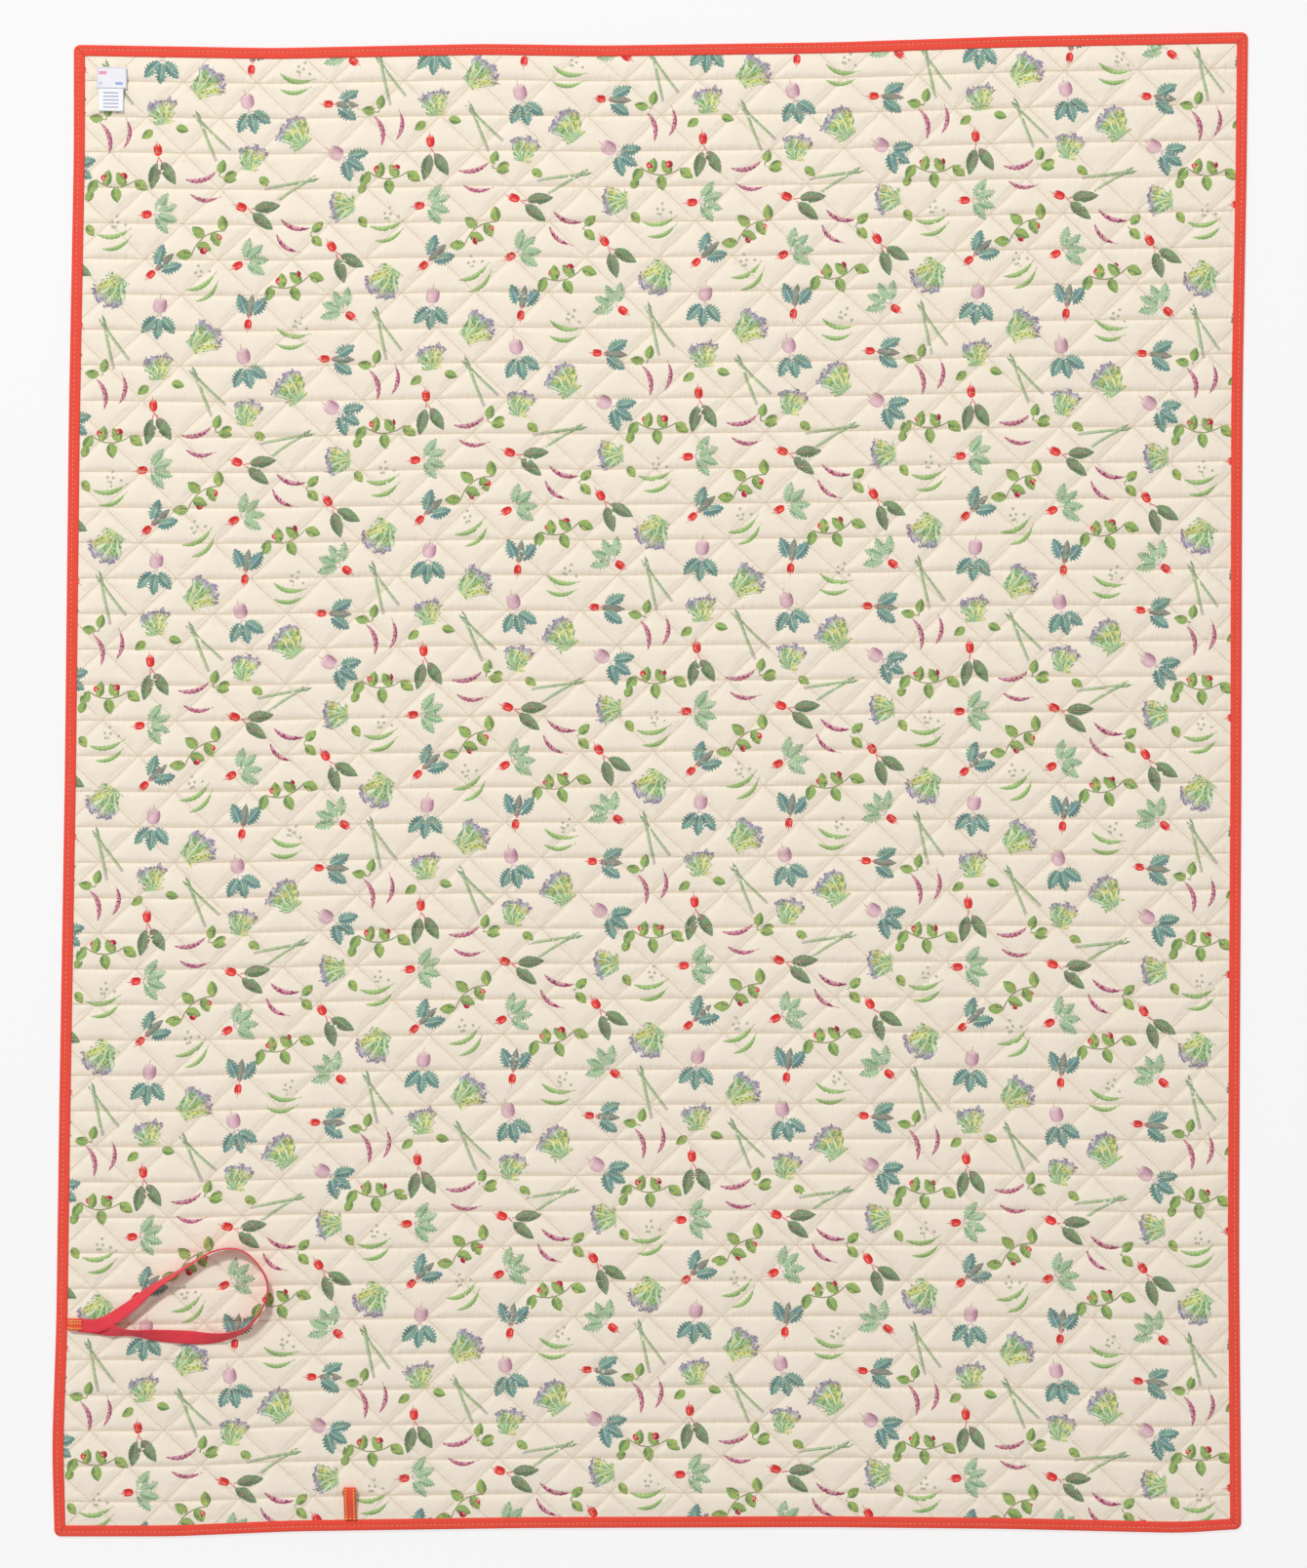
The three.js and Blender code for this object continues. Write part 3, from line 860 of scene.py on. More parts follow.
def draw_root(body, shade, tip, width, tail_color):
    """A root with dark and light strokes, a pale streaked tip and a thin tail."""
    def draw(f, u, v, wash, fine):
        from_middle = (abs(u - 0.44) ** 2.6 * 8 + abs(v / width) ** 2.2).larger(0) ** 0.45
        amount = f.ramp(from_middle + (fine - 0.5) * 0.2, 1.04, 0.9)
        color = f.mix(f.ramp(v + (fine - 0.5) * 0.4, -0.02, width), body, shade)
        color = f.mix(f.ramp(from_middle, 0.78, 1.0) * 0.55, color, shade)
        light = f.ramp(abs(v + width * 0.35), 0.09, 0.02) * f.ramp(abs(u - 0.36), 0.22, 0.1)
        color = f.mix(light * 0.25, color, tip)
        streaks = u + (v * 50 + wash * 8).sine() * 0.1 + (fine - 0.5) * 0.3
        color = f.mix(f.ramp(streaks, 0.68, 0.84) * 0.9, color, tip)
        tail = f.ramp(abs(v + (u * 9).sine() * 0.03), 0.045, 0.015)
        tail = tail * f.ramp(u, 0.75, 0.82) * f.ramp(u, 1.18, 1.05)
        return f.mix(tail, color, tail_color), amount.larger(tail * 0.8)
    return draw


def draw_berry(f, u, v, wash, fine):
    """A red berry with a pale glint and a small green cap."""
    from_middle = ((u - 0.55) * (u - 0.55) + v * v) ** 0.5
    amount = f.ramp(from_middle + (fine - 0.5) * 0.12, 0.5, 0.42)
    color = f.mix(f.ramp(v + (fine - 0.4) * 0.8, -0.1, 0.3), rgb(226, 78, 84), rgb(160, 48, 62))
    glint = f.ramp(abs(v + 0.14) + abs(u - 0.5), 0.22, 0.12)
    color = f.mix(glint * 0.6, color, rgb(246, 200, 186))
    cap = f.ramp(u + abs(v) * 0.8 + (fine - 0.5) * 0.3, 0.2, 0.12) * f.ramp(u, -0.2, -0.1)
    return f.mix(cap, color, rgb(110, 122, 86)), amount.larger(cap * 0.8)


def draw_spear(f, u, v, wash, fine):
    """An asparagus spear: a pale stalk with scales and a darker, pointed head."""
    head = f.ramp(u, 0.6, 0.84)
    outline = (0.031 + head * 0.008) * f.ramp(u, 1.02, 0.86) * f.ramp(u, -0.01, 0.01)
    side = abs(v + (u * 5).sine() * 0.006)
    amount = f.ramp(outline + (fine - 0.5) * 0.012 - side, 0, 0.008)
    color = f.mix(f.ramp(v + (fine - 0.5) * 0.05, -0.02, 0.022), rgb(196, 212, 166),
                  rgb(138, 166, 122))
    color = f.mix(f.ramp(u, 0.2, 0.02), color, rgb(206, 190, 188))
    scales = f.ramp((u * 60 + v * 90 + wash * 6).sine(), 0.3, 0.9) * (0.25 + head * 0.75)
    color = f.mix(scales, color, f.mix(f.ramp(fine, 0.4, 0.6), rgb(96, 132, 90),
                                       rgb(146, 144, 144)))
    edge = f.ramp(outline - side, 0.013, 0.003) * 0.65
    return f.mix(edge, color, rgb(104, 136, 98)), amount * (0.85 + wash * 0.2)


def draw_pod(skin, shade, dots, width, dot_share):
    """A bowed pod with a row of bumps or speckles, and a curl at its end."""
    def draw(f, u, v, wash, fine):
        across = v - u * (1 - u) * 0.6 + 0.05
        outline = ((u * (1 - u) * 4).larger(0) ** 0.5) * width
        outline = outline * (0.9 + (u * 44).sine() * 0.08)
        amount = f.ramp(outline - abs(across), 0, 0.03)
        color = f.mix(f.ramp(across + (wash - 0.5) * 0.1, -0.05, 0.06), skin, shade)
        seeds = f.ramp((u * 44).sine(), 0.2, 0.8) * f.ramp(abs(across), 0.05, 0.02)
        color = f.mix(seeds * (1 - dot_share) * 0.8, color, dots)
        color = f.mix(f.ramp(fine, 0.5, 0.58) * dot_share, color, dots)
        edge = f.ramp(outline - abs(across), 0.04, 0.01) * 0.7
        curl = f.ramp(abs(v - (1 - u) * 0.5 + 0.05), 0.03, 0.01)
        curl = curl * f.ramp(u, 0.96, 1.0) * f.ramp(u, 1.16, 1.1)
        return f.mix(edge, color, shade), amount.larger(curl * 0.6)
    return draw


def draw_peas(f, u, v, wash, fine):
    """Loose peas, scattered thinly."""
    place = f.node("ShaderNodeCombineXYZ", inputs={0: u * 3.7, 1: v * 3.7, 2: 0.0}).outputs[0]
    cells = f.node("ShaderNodeTexVoronoi", {"voronoi_dimensions": "2D"},
                   {"Vector": place, "Scale": 1.0, "Randomness": 0.9})
    near = Value(f, cells.outputs["Distance"])
    tint = f.split(cells.outputs["Color"])[0]
    inside = f.ramp(((u - 0.5) * (u - 0.5) + v * v) ** 0.5, 0.56, 0.5)
    amount = f.ramp(near + (fine - 0.5) * 0.1, 0.32, 0.24) * inside * f.ramp(tint, 0.26, 0.28)
    color = f.mix(f.ramp(near, 0.0, 0.3), rgb(188, 208, 160), rgb(132, 160, 116))
    return f.mix(tint * 0.45, color, rgb(150, 138, 146)), amount * 0.75


DRAWINGS = {
    "lettuce": draw_lettuce,
    "radish": draw_root(rgb(234, 66, 58), rgb(200, 44, 50), rgb(252, 226, 216), 0.3, PINK),
    "turnip": draw_root(rgb(226, 188, 196), rgb(176, 120, 146), rgb(246, 234, 216), 0.38,
                        rgb(206, 170, 140)),
    "berry": draw_berry,
    "dark_leaf": draw_leaf(rgb(58, 94, 62), rgb(120, 166, 112), rgb(176, 132, 118),
                           rgb(138, 126, 114), 0.24, 0.03),
    "fresh_leaf": draw_leaf(rgb(64, 112, 58), rgb(146, 186, 92), rgb(206, 214, 146),
                            rgb(190, 192, 84), 0.35, 0.05),
    "grey_leaf": draw_leaf(rgb(84, 102, 88), rgb(150, 158, 138), rgb(172, 152, 156),
                           rgb(150, 130, 132), 0.2, 0.03),
    "teal_leaf": draw_leaf(rgb(54, 108, 104), rgb(126, 172, 150), rgb(204, 220, 210),
                           rgb(88, 136, 150), 0.3, 0.22),
    "pale_leaf": draw_leaf(rgb(92, 148, 102), rgb(172, 204, 160), rgb(214, 228, 200),
                           rgb(196, 210, 176), 0.26, 0.24),
    "asparagus": draw_spear,
    "pea_pod": draw_pod(rgb(186, 212, 142), rgb(118, 160, 94), rgb(148, 186, 110), 0.1, 0.2),
    "bean_pod": draw_pod(rgb(228, 172, 184), rgb(180, 98, 122), rgb(148, 62, 98), 0.1, 1.0),
    "peas": draw_peas,
}


# %% [markdown]
# Under the paint every finish is the same cotton: cream cloth, a fine weave, small
# gathers that run out from the seams, and a warmer tone down in the seams, where less
# light gets in. The stems are thin, so they are drawn on every finish by the same lines.

# %% The printed cotton
def seam_nearness(f, reach):
    """1 on a seam and 0 beyond the reach, in metres. Straight seams, then both slants."""
    x, y, _ = f.split(f.uv())
    column = x / COLUMN_PITCH + COLUMNS / 2
    row = y / -ROW_PITCH + ROWS / 2
    slant = 2 * COLUMN_PITCH * ROW_PITCH / math.hypot(COLUMN_PITCH, ROW_PITCH)
    straight = row.math("PINGPONG", 0.5) * ROW_PITCH
    falling = ((column + row) / 2).math("PINGPONG", 0.5) * slant
    rising = ((column - row) / 2).math("PINGPONG", 0.5) * slant
    return f.ramp(straight, reach, 0), f.ramp(falling.smaller(rising), reach, 0)


COTTON = {"Specular IOR Level": 0.25, "Sheen Weight": 0.1}


def printed_cotton(kind):
    """Cream cotton with the stems, and with one kind of motif if there is one."""
    f = Finish("cotton_" + kind, COTTON)
    cloth = f.uv()
    color = f.mix(f.noise(cloth, 9, 3) * 0.35, CREAM, rgb(242, 228, 206))
    along, aside, tone = f.split(f.attribute("stem"))
    thick = f.noise(cloth, 260, 2)
    inside = f.ramp(along, -0.02, 0.0) * f.ramp(along, 1.02, 1.0)
    line = f.ramp(abs(aside) + (thick - 0.5) * 0.7, 1.05, 0.45) * inside
    stem_color = f.mix(tone, PINK, rgb(128, 126, 88))
    stem_color = f.mix(tone - 1, stem_color, rgb(196, 174, 178))
    color = f.mix(line * 0.85, color, stem_color)
    if kind in DRAWINGS:
        u, v, seed = f.split(f.attribute("motif"))
        place = f.node("ShaderNodeCombineXYZ", inputs={0: u, 1: v, 2: seed * 3.7}).outputs[0]
        paint, amount = DRAWINGS[kind](f, u, v, f.noise(place, 3.2, 2), f.noise(place, 13, 3))
        color = f.mix(amount, color, paint)
    # Painted shade: near each seam the cloth is multiplied by a warmer, darker tone.
    straight, slanted = seam_nearness(f, 2.2 * MM)
    shade = (straight * 0.4).larger(slanted * 0.24)
    color = f.mix(shade, color, f.mix(1.0, color, CREASE_SHADE, "MULTIPLY"))
    near_straight, near_slanted = seam_nearness(f, 15 * MM)
    gathers = f.noise(f.scaled(cloth, (170, 36, 1)), 1.0, 2) * near_straight
    puckers = f.noise(f.scaled(cloth, (100, 100, 1)), 1.0, 3) * (near_slanted * 0.7 + 0.25)
    folds = f.bump(gathers + puckers, 0.85, 1.9 * MM)
    weave = f.noise(f.scaled(cloth, (900, 900, 1)), 1.0, 1)
    return f.finish(color, f.bump(weave, 0.25, 0.2 * MM, folds), 0.8 + weave * 0.12)


cover, cover_points = cloth_body("printed_cover", x_lines, y_lines, cover_top,
                                 COVER_UNDERSIDE, printed_cotton("plain"), len(STEPS))
for motif_kind in MOTIF_WIDTHS:
    cover.data.materials.append(printed_cotton(motif_kind))
print_motifs(cover, cover_points)
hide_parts("cover_lower", "cover_upper")
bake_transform(cover)

# %% [markdown]
# The backing is the cloth that lies on the ground. The same seams pull it up in
# creases, so its underside gets a shallow copy of the lattice on a grid with half the
# lines. Where the blanket folds, close lines across it let the cloth bend smoothly. A
# plain cotton is a fair guess for a side that is out of sight.

# %% Backing
BACKING_TOP = 1.7 * MM
BACKING_CREASE = 1.05 * MM
COARSE_CELLS = len(STEPS) // 2
BEND_LINES = np.arange(-20, 22, 2.5) * MM


def coarse_lines(lines, cells):
    """Every second line of the cover's grid, and its last one."""
    return np.append(lines[:-1].reshape(cells, -1)[:, ::2], lines[-1])


backing_x = coarse_lines(x_lines, COLUMNS)
backing_y = coarse_lines(y_lines, ROWS)
backing_y = np.concatenate([backing_y[backing_y < BEND_LINES[0]], BEND_LINES,
                            backing_y[backing_y > BEND_LINES[-1]]])
back_x, back_y = (side.ravel() for side in np.meshgrid(backing_x, backing_y))
back_puff, _ = pillow(back_x, back_y)
back_relief = squeeze(back_x, back_y, BACKING_CREASE * (1 - back_puff ** 0.5), 1.15 * MM)


def plain_cloth(name, light, dark, weave_scale, gathers=0.5):
    """A plain woven cloth, a little uneven in tone, with a fine weave and painted shade along its
    seams.
    """
    f = Finish(name, {"Specular IOR Level": 0.2, "Sheen Weight": 0.15})
    cloth = f.uv()
    tone = f.noise(cloth, 14, 4)
    weave = f.noise(f.scaled(cloth, (weave_scale, weave_scale, 1)), 1.0, 1)
    color = f.mix((tone * 0.7 + weave * 0.4).bounded(), light, dark)
    # Painted shade: the cloth is darker along the seams, the more so the stronger its gathers.
    near_straight, near_slanted = seam_nearness(f, 3 * MM)
    seams = near_straight.larger(near_slanted * 0.8)
    color = f.mix(seams * gathers, color, tuple(part * 0.74 for part in dark))
    straight, slanted = seam_nearness(f, 12 * MM)
    folds = f.noise(f.scaled(cloth, (140, 60, 1)), 1.0, 2) * (straight + slanted * 0.5 + 0.1)
    folds = folds - straight.larger(slanted)
    under = f.bump(folds * gathers, 0.8, 2.5 * MM)
    return f.finish(color, f.bump(weave, 0.3, 0.2 * MM, under), 0.8 + weave * 0.15)


backing, _ = cloth_body("backing_cloth", backing_x, backing_y, back_relief, BACKING_TOP,
                        plain_cloth("backing_cotton", rgb(238, 228, 210), rgb(222, 208, 186), 800),
                        COARSE_CELLS)
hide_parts("backing_lower", "backing_upper")
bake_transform(backing)

# %% [markdown]
# Wadding is a loose felt of fibres. It can't be seen in the finished blanket, as it
# lies inside the cover's pillows, so a thin sheet of it between the two cloths is enough.

# %% Wadding
WADDING_BOTTOM = 2.0 * MM
WADDING_TOP = 2.6 * MM
wadding_x = np.linspace(x_lines[0], x_lines[-1], COLUMNS + 1)
wadding_y = np.concatenate([[y_lines[0], -FOLD_REACH], BEND_LINES, [FOLD_REACH, y_lines[-1]]])
wadding_relief = np.full(len(wadding_x) * len(wadding_y), WADDING_TOP)
wadding, _ = cloth_body("wadding_sheet", wadding_x, wadding_y, wadding_relief, WADDING_BOTTOM,
                        plain_cloth("fleece", rgb(246, 245, 240), rgb(232, 231, 226), 300, 0.1))
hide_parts("wadding_lower", "wadding_upper")
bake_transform(wadding)

# %% [markdown]
# The binding is one tape folded over the raw edge. Its outline in section is a
# narrow C, and that C travels all round the blanket: straight along the sides, round
# the outer corners, and with a sharp inner corner, where a real tape is mitred.
# The stitching pulls it in a little, so its upper leg rises on both sides of the seam.

# %% Binding
TAPE_PROFILE = [(13.5, 0.0), (9, 0.05), (3, 0.05), (1, 0.4), (0.15, 1.5), (0, 2.7),
                (0.25, 3.9), (1.2, 5.0), (2.8, 5.45), (4.6, 5.2), (5.8, 4.95), (7.2, 5.25),
                (10, 5.35), (12.6, 5.15), (13.5, 4.8), (13.5, 4.4), (9, 4.4), (3, 4.4),
                (1.5, 3.9), (1.05, 2.7), (1.5, 1.2), (3, 0.8), (13.5, 0.8)]
UPPER_LEG = 5.1 * MM
TOPSTITCH_INSET = 5.8 * MM
CORNER_STEPS = 6


def edge_stations(inset):
    """Places all round the blanket at a distance in from its edge, going anticlockwise."""
    radius = max(CORNER_RADIUS - inset, 0.02 * MM)
    centre_x = WIDTH / 2 - max(CORNER_RADIUS, inset)
    centre_y = LENGTH / 2 - max(CORNER_RADIUS, inset)
    along_x = x_lines[2:-2] * centre_x / (WIDTH / 2)
    along_y = y_lines[2:-2] * centre_y / (LENGTH / 2)
    angles = np.linspace(0, math.pi / 2, CORNER_STEPS)
    bend = np.stack([np.cos(angles), np.sin(angles)], 1) * radius
    turned = np.stack([-bend[:, 1], bend[:, 0]], 1)
    right = np.stack([np.full(len(along_y), centre_x + radius), along_y], 1)
    top = np.stack([along_x[::-1], np.full(len(along_x), centre_y + radius)], 1)
    return np.concatenate([
        right, bend + (centre_x, centre_y), top, turned + (-centre_x, centre_y),
        -right, -bend - (centre_x, centre_y), -top, -turned + (centre_x, -centre_y)])


def tape_finish():
    """Coral cotton tape with a fine slanting twill and a dark line at each mitre."""
    f = Finish("coral_tape", {"Specular IOR Level": 0.3, "Sheen Weight": 0.2})
    cloth = f.uv()
    along, inset, _ = f.split(cloth)
    twill = ((along + inset) * 5200).sine()
    tone = f.noise(f.scaled(cloth, (30, 90, 1)), 1.0, 4)
    color = f.mix(tone * 0.7 + twill * 0.06, rgb(244, 84, 66), rgb(228, 64, 50))
    # Painted shade: the tape is a little darker in the dent along its topstitching.
    stitch_dent_shade = f.ramp(abs(inset - TOPSTITCH_INSET), 1.6 * MM, 0.3 * MM)
    color = f.mix(stitch_dent_shade * 0.15, color, rgb(206, 52, 42))
    flat_x, flat_y, _ = f.split(f.attribute("flat"))
    off_mitre = abs((WIDTH / 2 - abs(flat_x)) - (LENGTH / 2 - abs(flat_y)))
    color = f.mix(f.ramp(off_mitre, 1.3 * MM, 0.3 * MM) * 0.6, color, rgb(170, 44, 38))
    ripple = f.noise(f.scaled(cloth, (160, 60, 1)), 1.0, 2)
    return f.finish(color, f.bump(twill, 0.15, 0.15 * MM, f.bump(ripple, 0.35, 1.0 * MM)), 0.75)


insets, levels = np.array(TAPE_PROFILE).T * MM
rings = [edge_stations(inset) for inset in insets]
stations, profile_size = len(rings[0]), len(TAPE_PROFILE)
tape_points = np.zeros((stations, profile_size, 3))
tape_points[:, :, :2] = np.stack(rings, 1)
tape_points[:, :, 2] = levels
step_lengths = np.hypot(*np.diff(rings[0], axis=0, append=rings[0][:1]).T)
distance_round = np.concatenate([[0], np.cumsum(step_lengths)[:-1]])
swell = 0.12 * MM * np.sin(distance_round * 310) + 0.1 * MM * np.sin(distance_round * 97)
tape_points[:, levels > UPPER_LEG, 2] += swell[:, None]
tape_faces = []
for station in range(stations):
    here = station * profile_size
    there = (station + 1) % stations * profile_size
    for place in range(profile_size):
        after = (place + 1) % profile_size
        tape_faces.append((here + place, here + after, there + after, there + place))
tape_flat = tape_points.reshape(-1, 3)
binding = make_piece("binding_tape", tape_flat, tape_faces, tape_finish())
tape_map = np.zeros((stations, profile_size, 2))
tape_map[:, :, 0] = distance_round[:, None]
tape_map[:, :, 1] = insets
add_uv(binding, tape_map.reshape(-1, 2))
flat_place = binding.data.attributes.new("flat", "FLOAT_VECTOR", "POINT")
flat_place.data.foreach_set("vector", tape_flat.ravel())
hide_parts("binding_left_lower", "binding_right_lower", "binding_bottom",
            "binding_left_upper", "binding_right_upper", "binding_top")
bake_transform(binding)

# %% [markdown]
# Sewing repeats the same small stitch thousands of times, which is what Geometry Nodes
# are for. The tree walks along the lines it is given, sets a stitch every few
# millimetres, turns each one along the line, and varies them a little, as a machine on
# thick cloth does. The result becomes a plain mesh, so it can fold with the blanket.

# %% Stitch maker
def stitch_tree():
    """A node tree that turns lines into rows of stitches."""
    tree = bpy.data.node_groups.new("stitch_rows", "GeometryNodeTree")
    face = tree.interface
    face.new_socket("Lines", in_out="INPUT", socket_type="NodeSocketGeometry")
    for name in ("Pitch", "Stitch length", "Thread width"):
        face.new_socket(name, in_out="INPUT", socket_type="NodeSocketFloat")
    face.new_socket("Thread", in_out="INPUT", socket_type="NodeSocketMaterial")
    face.new_socket("Seed", in_out="INPUT", socket_type="NodeSocketInt")
    face.new_socket("Stitches", in_out="OUTPUT", socket_type="NodeSocketGeometry")

    node = partial(add_node, tree)
    given = node("NodeGroupInput").outputs
    curve = node("GeometryNodeMeshToCurve", inputs={"Mesh": given["Lines"]}).outputs["Curve"]
    spaced = node("GeometryNodeCurveToPoints", {"mode": "LENGTH"},
                  {"Curve": curve, "Length": given["Pitch"]}).outputs
    size = node("ShaderNodeCombineXYZ", inputs={"X": given["Thread width"],
                "Y": given["Thread width"], "Z": given["Stitch length"]}).outputs[0]
    stitch = node("GeometryNodeMeshCube", inputs={"Size": size}).outputs["Mesh"]
    turn = node("FunctionNodeRandomValue", {"data_type": "FLOAT_VECTOR"},
                {"Min": (-0.05, -0.12, 0), "Max": (0.05, 0.12, 0.7), "Seed": given["Seed"]})
    turned = node("FunctionNodeRotateRotation", {"rotation_space": "LOCAL"},
                  {"Rotation": spaced["Rotation"],
                   "Rotate By": node("FunctionNodeEulerToRotation",
                                     inputs={"Euler": turn.outputs[0]}).outputs[0]})
    placed = node("GeometryNodeInstanceOnPoints", inputs={
        "Points": spaced["Points"], "Instance": stitch, "Rotation": turned.outputs[0]})
    real = node("GeometryNodeRealizeInstances", inputs={"Geometry": placed.outputs[0]})
    painted = node("GeometryNodeSetMaterial", inputs={
        "Geometry": real.outputs[0], "Material": given["Thread"]})
    node("NodeGroupOutput", inputs={"Stitches": painted.outputs[0]})
    return tree


STITCHES = stitch_tree()


def sew(name, lines, pitch, length, width, thread, seed=1):
    """Rows of stitches along the lines, as one plain mesh that lies with the blanket."""
    points = np.concatenate(lines)
    ends = np.cumsum([len(line) for line in lines])
    edges = [(k, k + 1) for k in range(len(points) - 1) if k + 1 not in ends]
    mesh = bpy.data.meshes.new(name + "_lines")
    mesh.from_pydata(points.tolist(), edges, [])
    holder = put_in_scene(name + "_lines", mesh)
    modifier = holder.modifiers.new("sew", "NODES")
    modifier.node_group = STITCHES
    values = {"Pitch": pitch, "Stitch length": length, "Thread width": width,
              "Thread": thread, "Seed": seed}
    for item in STITCHES.interface.items_tree:
        if item.name in values and item.in_out == "INPUT":
            modifier[item.identifier] = values[item.name]
    sewn = finished_mesh(holder)
    flat = mesh_points(sewn)
    sewn.vertices.foreach_set("co", lay(flat).ravel())
    piece = put_in_scene(name, sewn)
    add_uv(piece, flat)
    print(name, len(sewn.polygons) // 6, "stitches")
    return piece


def thread_finish(name, color):
    """Spun thread: one colour with a soft sheen."""
    f = Finish(name, {"Specular IOR Level": 0.4, "Sheen Weight": 0.2, "Roughness": 0.6})
    tone = f.noise(f.uv(), 900, 1)
    return f.finish(f.mix(tone, color, tuple(part * 0.82 for part in color)))


def ring_line(x_low, x_high, y_low, y_high, level, steps=12):
    """A closed rectangle of points."""
    x_side = np.linspace(x_low, x_high, steps)
    y_side = np.linspace(y_low, y_high, steps)
    sides = [(x_side, np.full(steps, y_low)), (np.full(steps, x_high), y_side),
             (x_side[::-1], np.full(steps, y_high)), (np.full(steps, x_low), y_side[::-1])]
    x, y = np.concatenate(sides, axis=1)
    return np.stack([x, y, np.full(len(x), level)], 1)


# %% [markdown]
# The quilting thread runs along the bottom of every seam: one piece for the straight
# rows, and one for each set of slanting rows. The topstitching on the binding is the
# same stitch in a paler thread than the tape, just inside the edge.

# %% Quilting and topstitching
cream_thread = thread_finish("cream_thread", rgb(243, 226, 200))
peach_thread = thread_finish("peach_thread", rgb(250, 160, 122))
THREAD_LIFT = 0.12 * MM
SEAM_START = BINDING_WIDTH + 0.6 * MM


def seam_line(start, end):
    """Points along a seam between two places, at the height of the seam."""
    share = np.linspace(0, 1, 60)[:, None]
    places = np.array(start) * (1 - share) + np.array(end) * share
    level = squeeze(places[:, 0], places[:, 1], SEAM_LEVEL, RIM_LEVEL) + THREAD_LIFT
    return np.column_stack([places, level])


def clipped_slant(offset, direction):
    """The part of a slanting seam that shows inside the binding, or None."""
    half_x, half_y = WIDTH / 2 - SEAM_START, LENGTH / 2 - SEAM_START
    slope = direction * ROW_PITCH / COLUMN_PITCH
    x = np.clip((np.array([-half_y, half_y]) - offset) / slope, -half_x, half_x)
    ends = np.stack([x, offset + slope * x], 1)
    inside = np.abs(ends[:, 1]).max() <= half_y + 1e-6
    return seam_line(*ends) if inside and abs(x[0] - x[1]) > 8 * MM else None


straight_rows = []
for row in range(1, ROWS):
    level_y = LENGTH / 2 - row * ROW_PITCH
    straight_rows.append(seam_line((SEAM_START - WIDTH / 2, level_y),
                                   (WIDTH / 2 - SEAM_START, level_y)))
first_offset = LENGTH / 2 + COLUMNS / 2 * ROW_PITCH
offsets = [first_offset - 2 * ROW_PITCH * k for k in range(ROWS // 2 + COLUMNS // 2 + 1)]
rising_rows = [clipped_slant(offset, 1) for offset in offsets]
falling_rows = [clipped_slant(offset, -1) for offset in offsets]
rows_by_name = {
    "quilting_straight": straight_rows,
    "quilting_rising": [row for row in rising_rows if row is not None],
    "quilting_falling": [row for row in falling_rows if row is not None],
}
for seed, (name, rows) in enumerate(rows_by_name.items()):
    quilting = sew(name, rows, pitch=4.2 * MM, length=3.2 * MM, width=0.45 * MM,
                   thread=cream_thread, seed=seed)
    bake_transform(quilting)

topstitch_ring = edge_stations(TOPSTITCH_INSET)
topstitch_ring = np.concatenate([topstitch_ring, topstitch_ring[:1]])
topstitch_line = np.column_stack([topstitch_ring, np.full(len(topstitch_ring), 5.1 * MM)])
topstitch = sew("binding_topstitch", [topstitch_line], pitch=5.6 * MM, length=3.6 * MM,
                width=0.75 * MM, thread=peach_thread, seed=5)
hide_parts("binding_thread_lower", "binding_thread_upper")
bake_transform(topstitch)

# %% [markdown]
# The strap's tab and the hanging loop keep the shapes of the solid parts, with soft
# edges. A copy is laid down with the blanket, its edges are rounded and its faces
# smoothed. The tab is also cut to a little over half its length. Each stays on its own
# moving body, and so does the elastic, which is built afresh in the next cell.

# %% Soft tapes
def soft_copy(name, node, material, bevel, shortening=1):
    """A laid copy of a solid part with rounded edges."""
    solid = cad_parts[node]
    place = solid.matrix_world
    points = np.array([tuple(place @ vertex.co) for vertex in solid.data.vertices])
    root = points[:, 0].min()
    points[:, 0] = root + (points[:, 0] - root) * shortening
    faces = [tuple(face.vertices) for face in solid.data.polygons]
    draft = make_piece(name + "_draft", points, faces, material)
    joined = draft.modifiers.new("join", "WELD")
    joined.merge_threshold = 0.01 * MM
    flat_faces = draft.modifiers.new("faces", "DECIMATE")
    flat_faces.decimate_type = "DISSOLVE"
    flat_faces.angle_limit = math.radians(0.5)
    rounding = draft.modifiers.new("round", "BEVEL")
    rounding.width = bevel
    rounding.segments = 2
    rounding.limit_method = "ANGLE"
    rounding.angle_limit = math.radians(40)
    smoothing = draft.modifiers.new("smooth", "SUBSURF")
    smoothing.levels = 1
    smoothing.render_levels = 1
    mesh = finished_mesh(draft)
    piece = put_in_scene(name, mesh)
    add_uv(piece, mesh_points(mesh))
    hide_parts(node)
    print(name, len(mesh.polygons), "faces")
    return piece


def band_finish(name, light, dark, ribs):
    """Woven or knitted band: fine ribs and a slightly uneven colour."""
    f = Finish(name, {"Specular IOR Level": 0.3, "Sheen Weight": 0.2})
    cloth = f.uv()
    tone = f.noise(f.scaled(cloth, (60, 60, 1)), 1.0, 3)
    grain = f.noise(f.scaled(cloth, (ribs, ribs, 1)), 1.0, 1)
    color = f.mix((tone * 0.8 + grain * 0.3 - 0.1).bounded(), light, dark)
    return f.finish(color, f.bump(grain, 0.3, 0.25 * MM), 0.7 + grain * 0.15)


orange_tape = band_finish("orange_tape", rgb(246, 96, 62), rgb(226, 66, 44), 700)
red_elastic = band_finish("red_elastic", rgb(238, 72, 84), rgb(214, 48, 62), 900)
amber_thread = thread_finish("amber_thread", rgb(255, 198, 104))

ROOT_X, ROOT_Y = -0.6865, -0.636
TAB_SHORTENING = 0.56
tab = soft_copy("strap_tab_tape", "strap_tab", orange_tape, 0.5 * MM, TAB_SHORTENING)
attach(tab, "strap")
loop = soft_copy("hanging_loop_tape", "hang_loop", orange_tape, 0.4 * MM)
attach(loop, "hanging_loop")

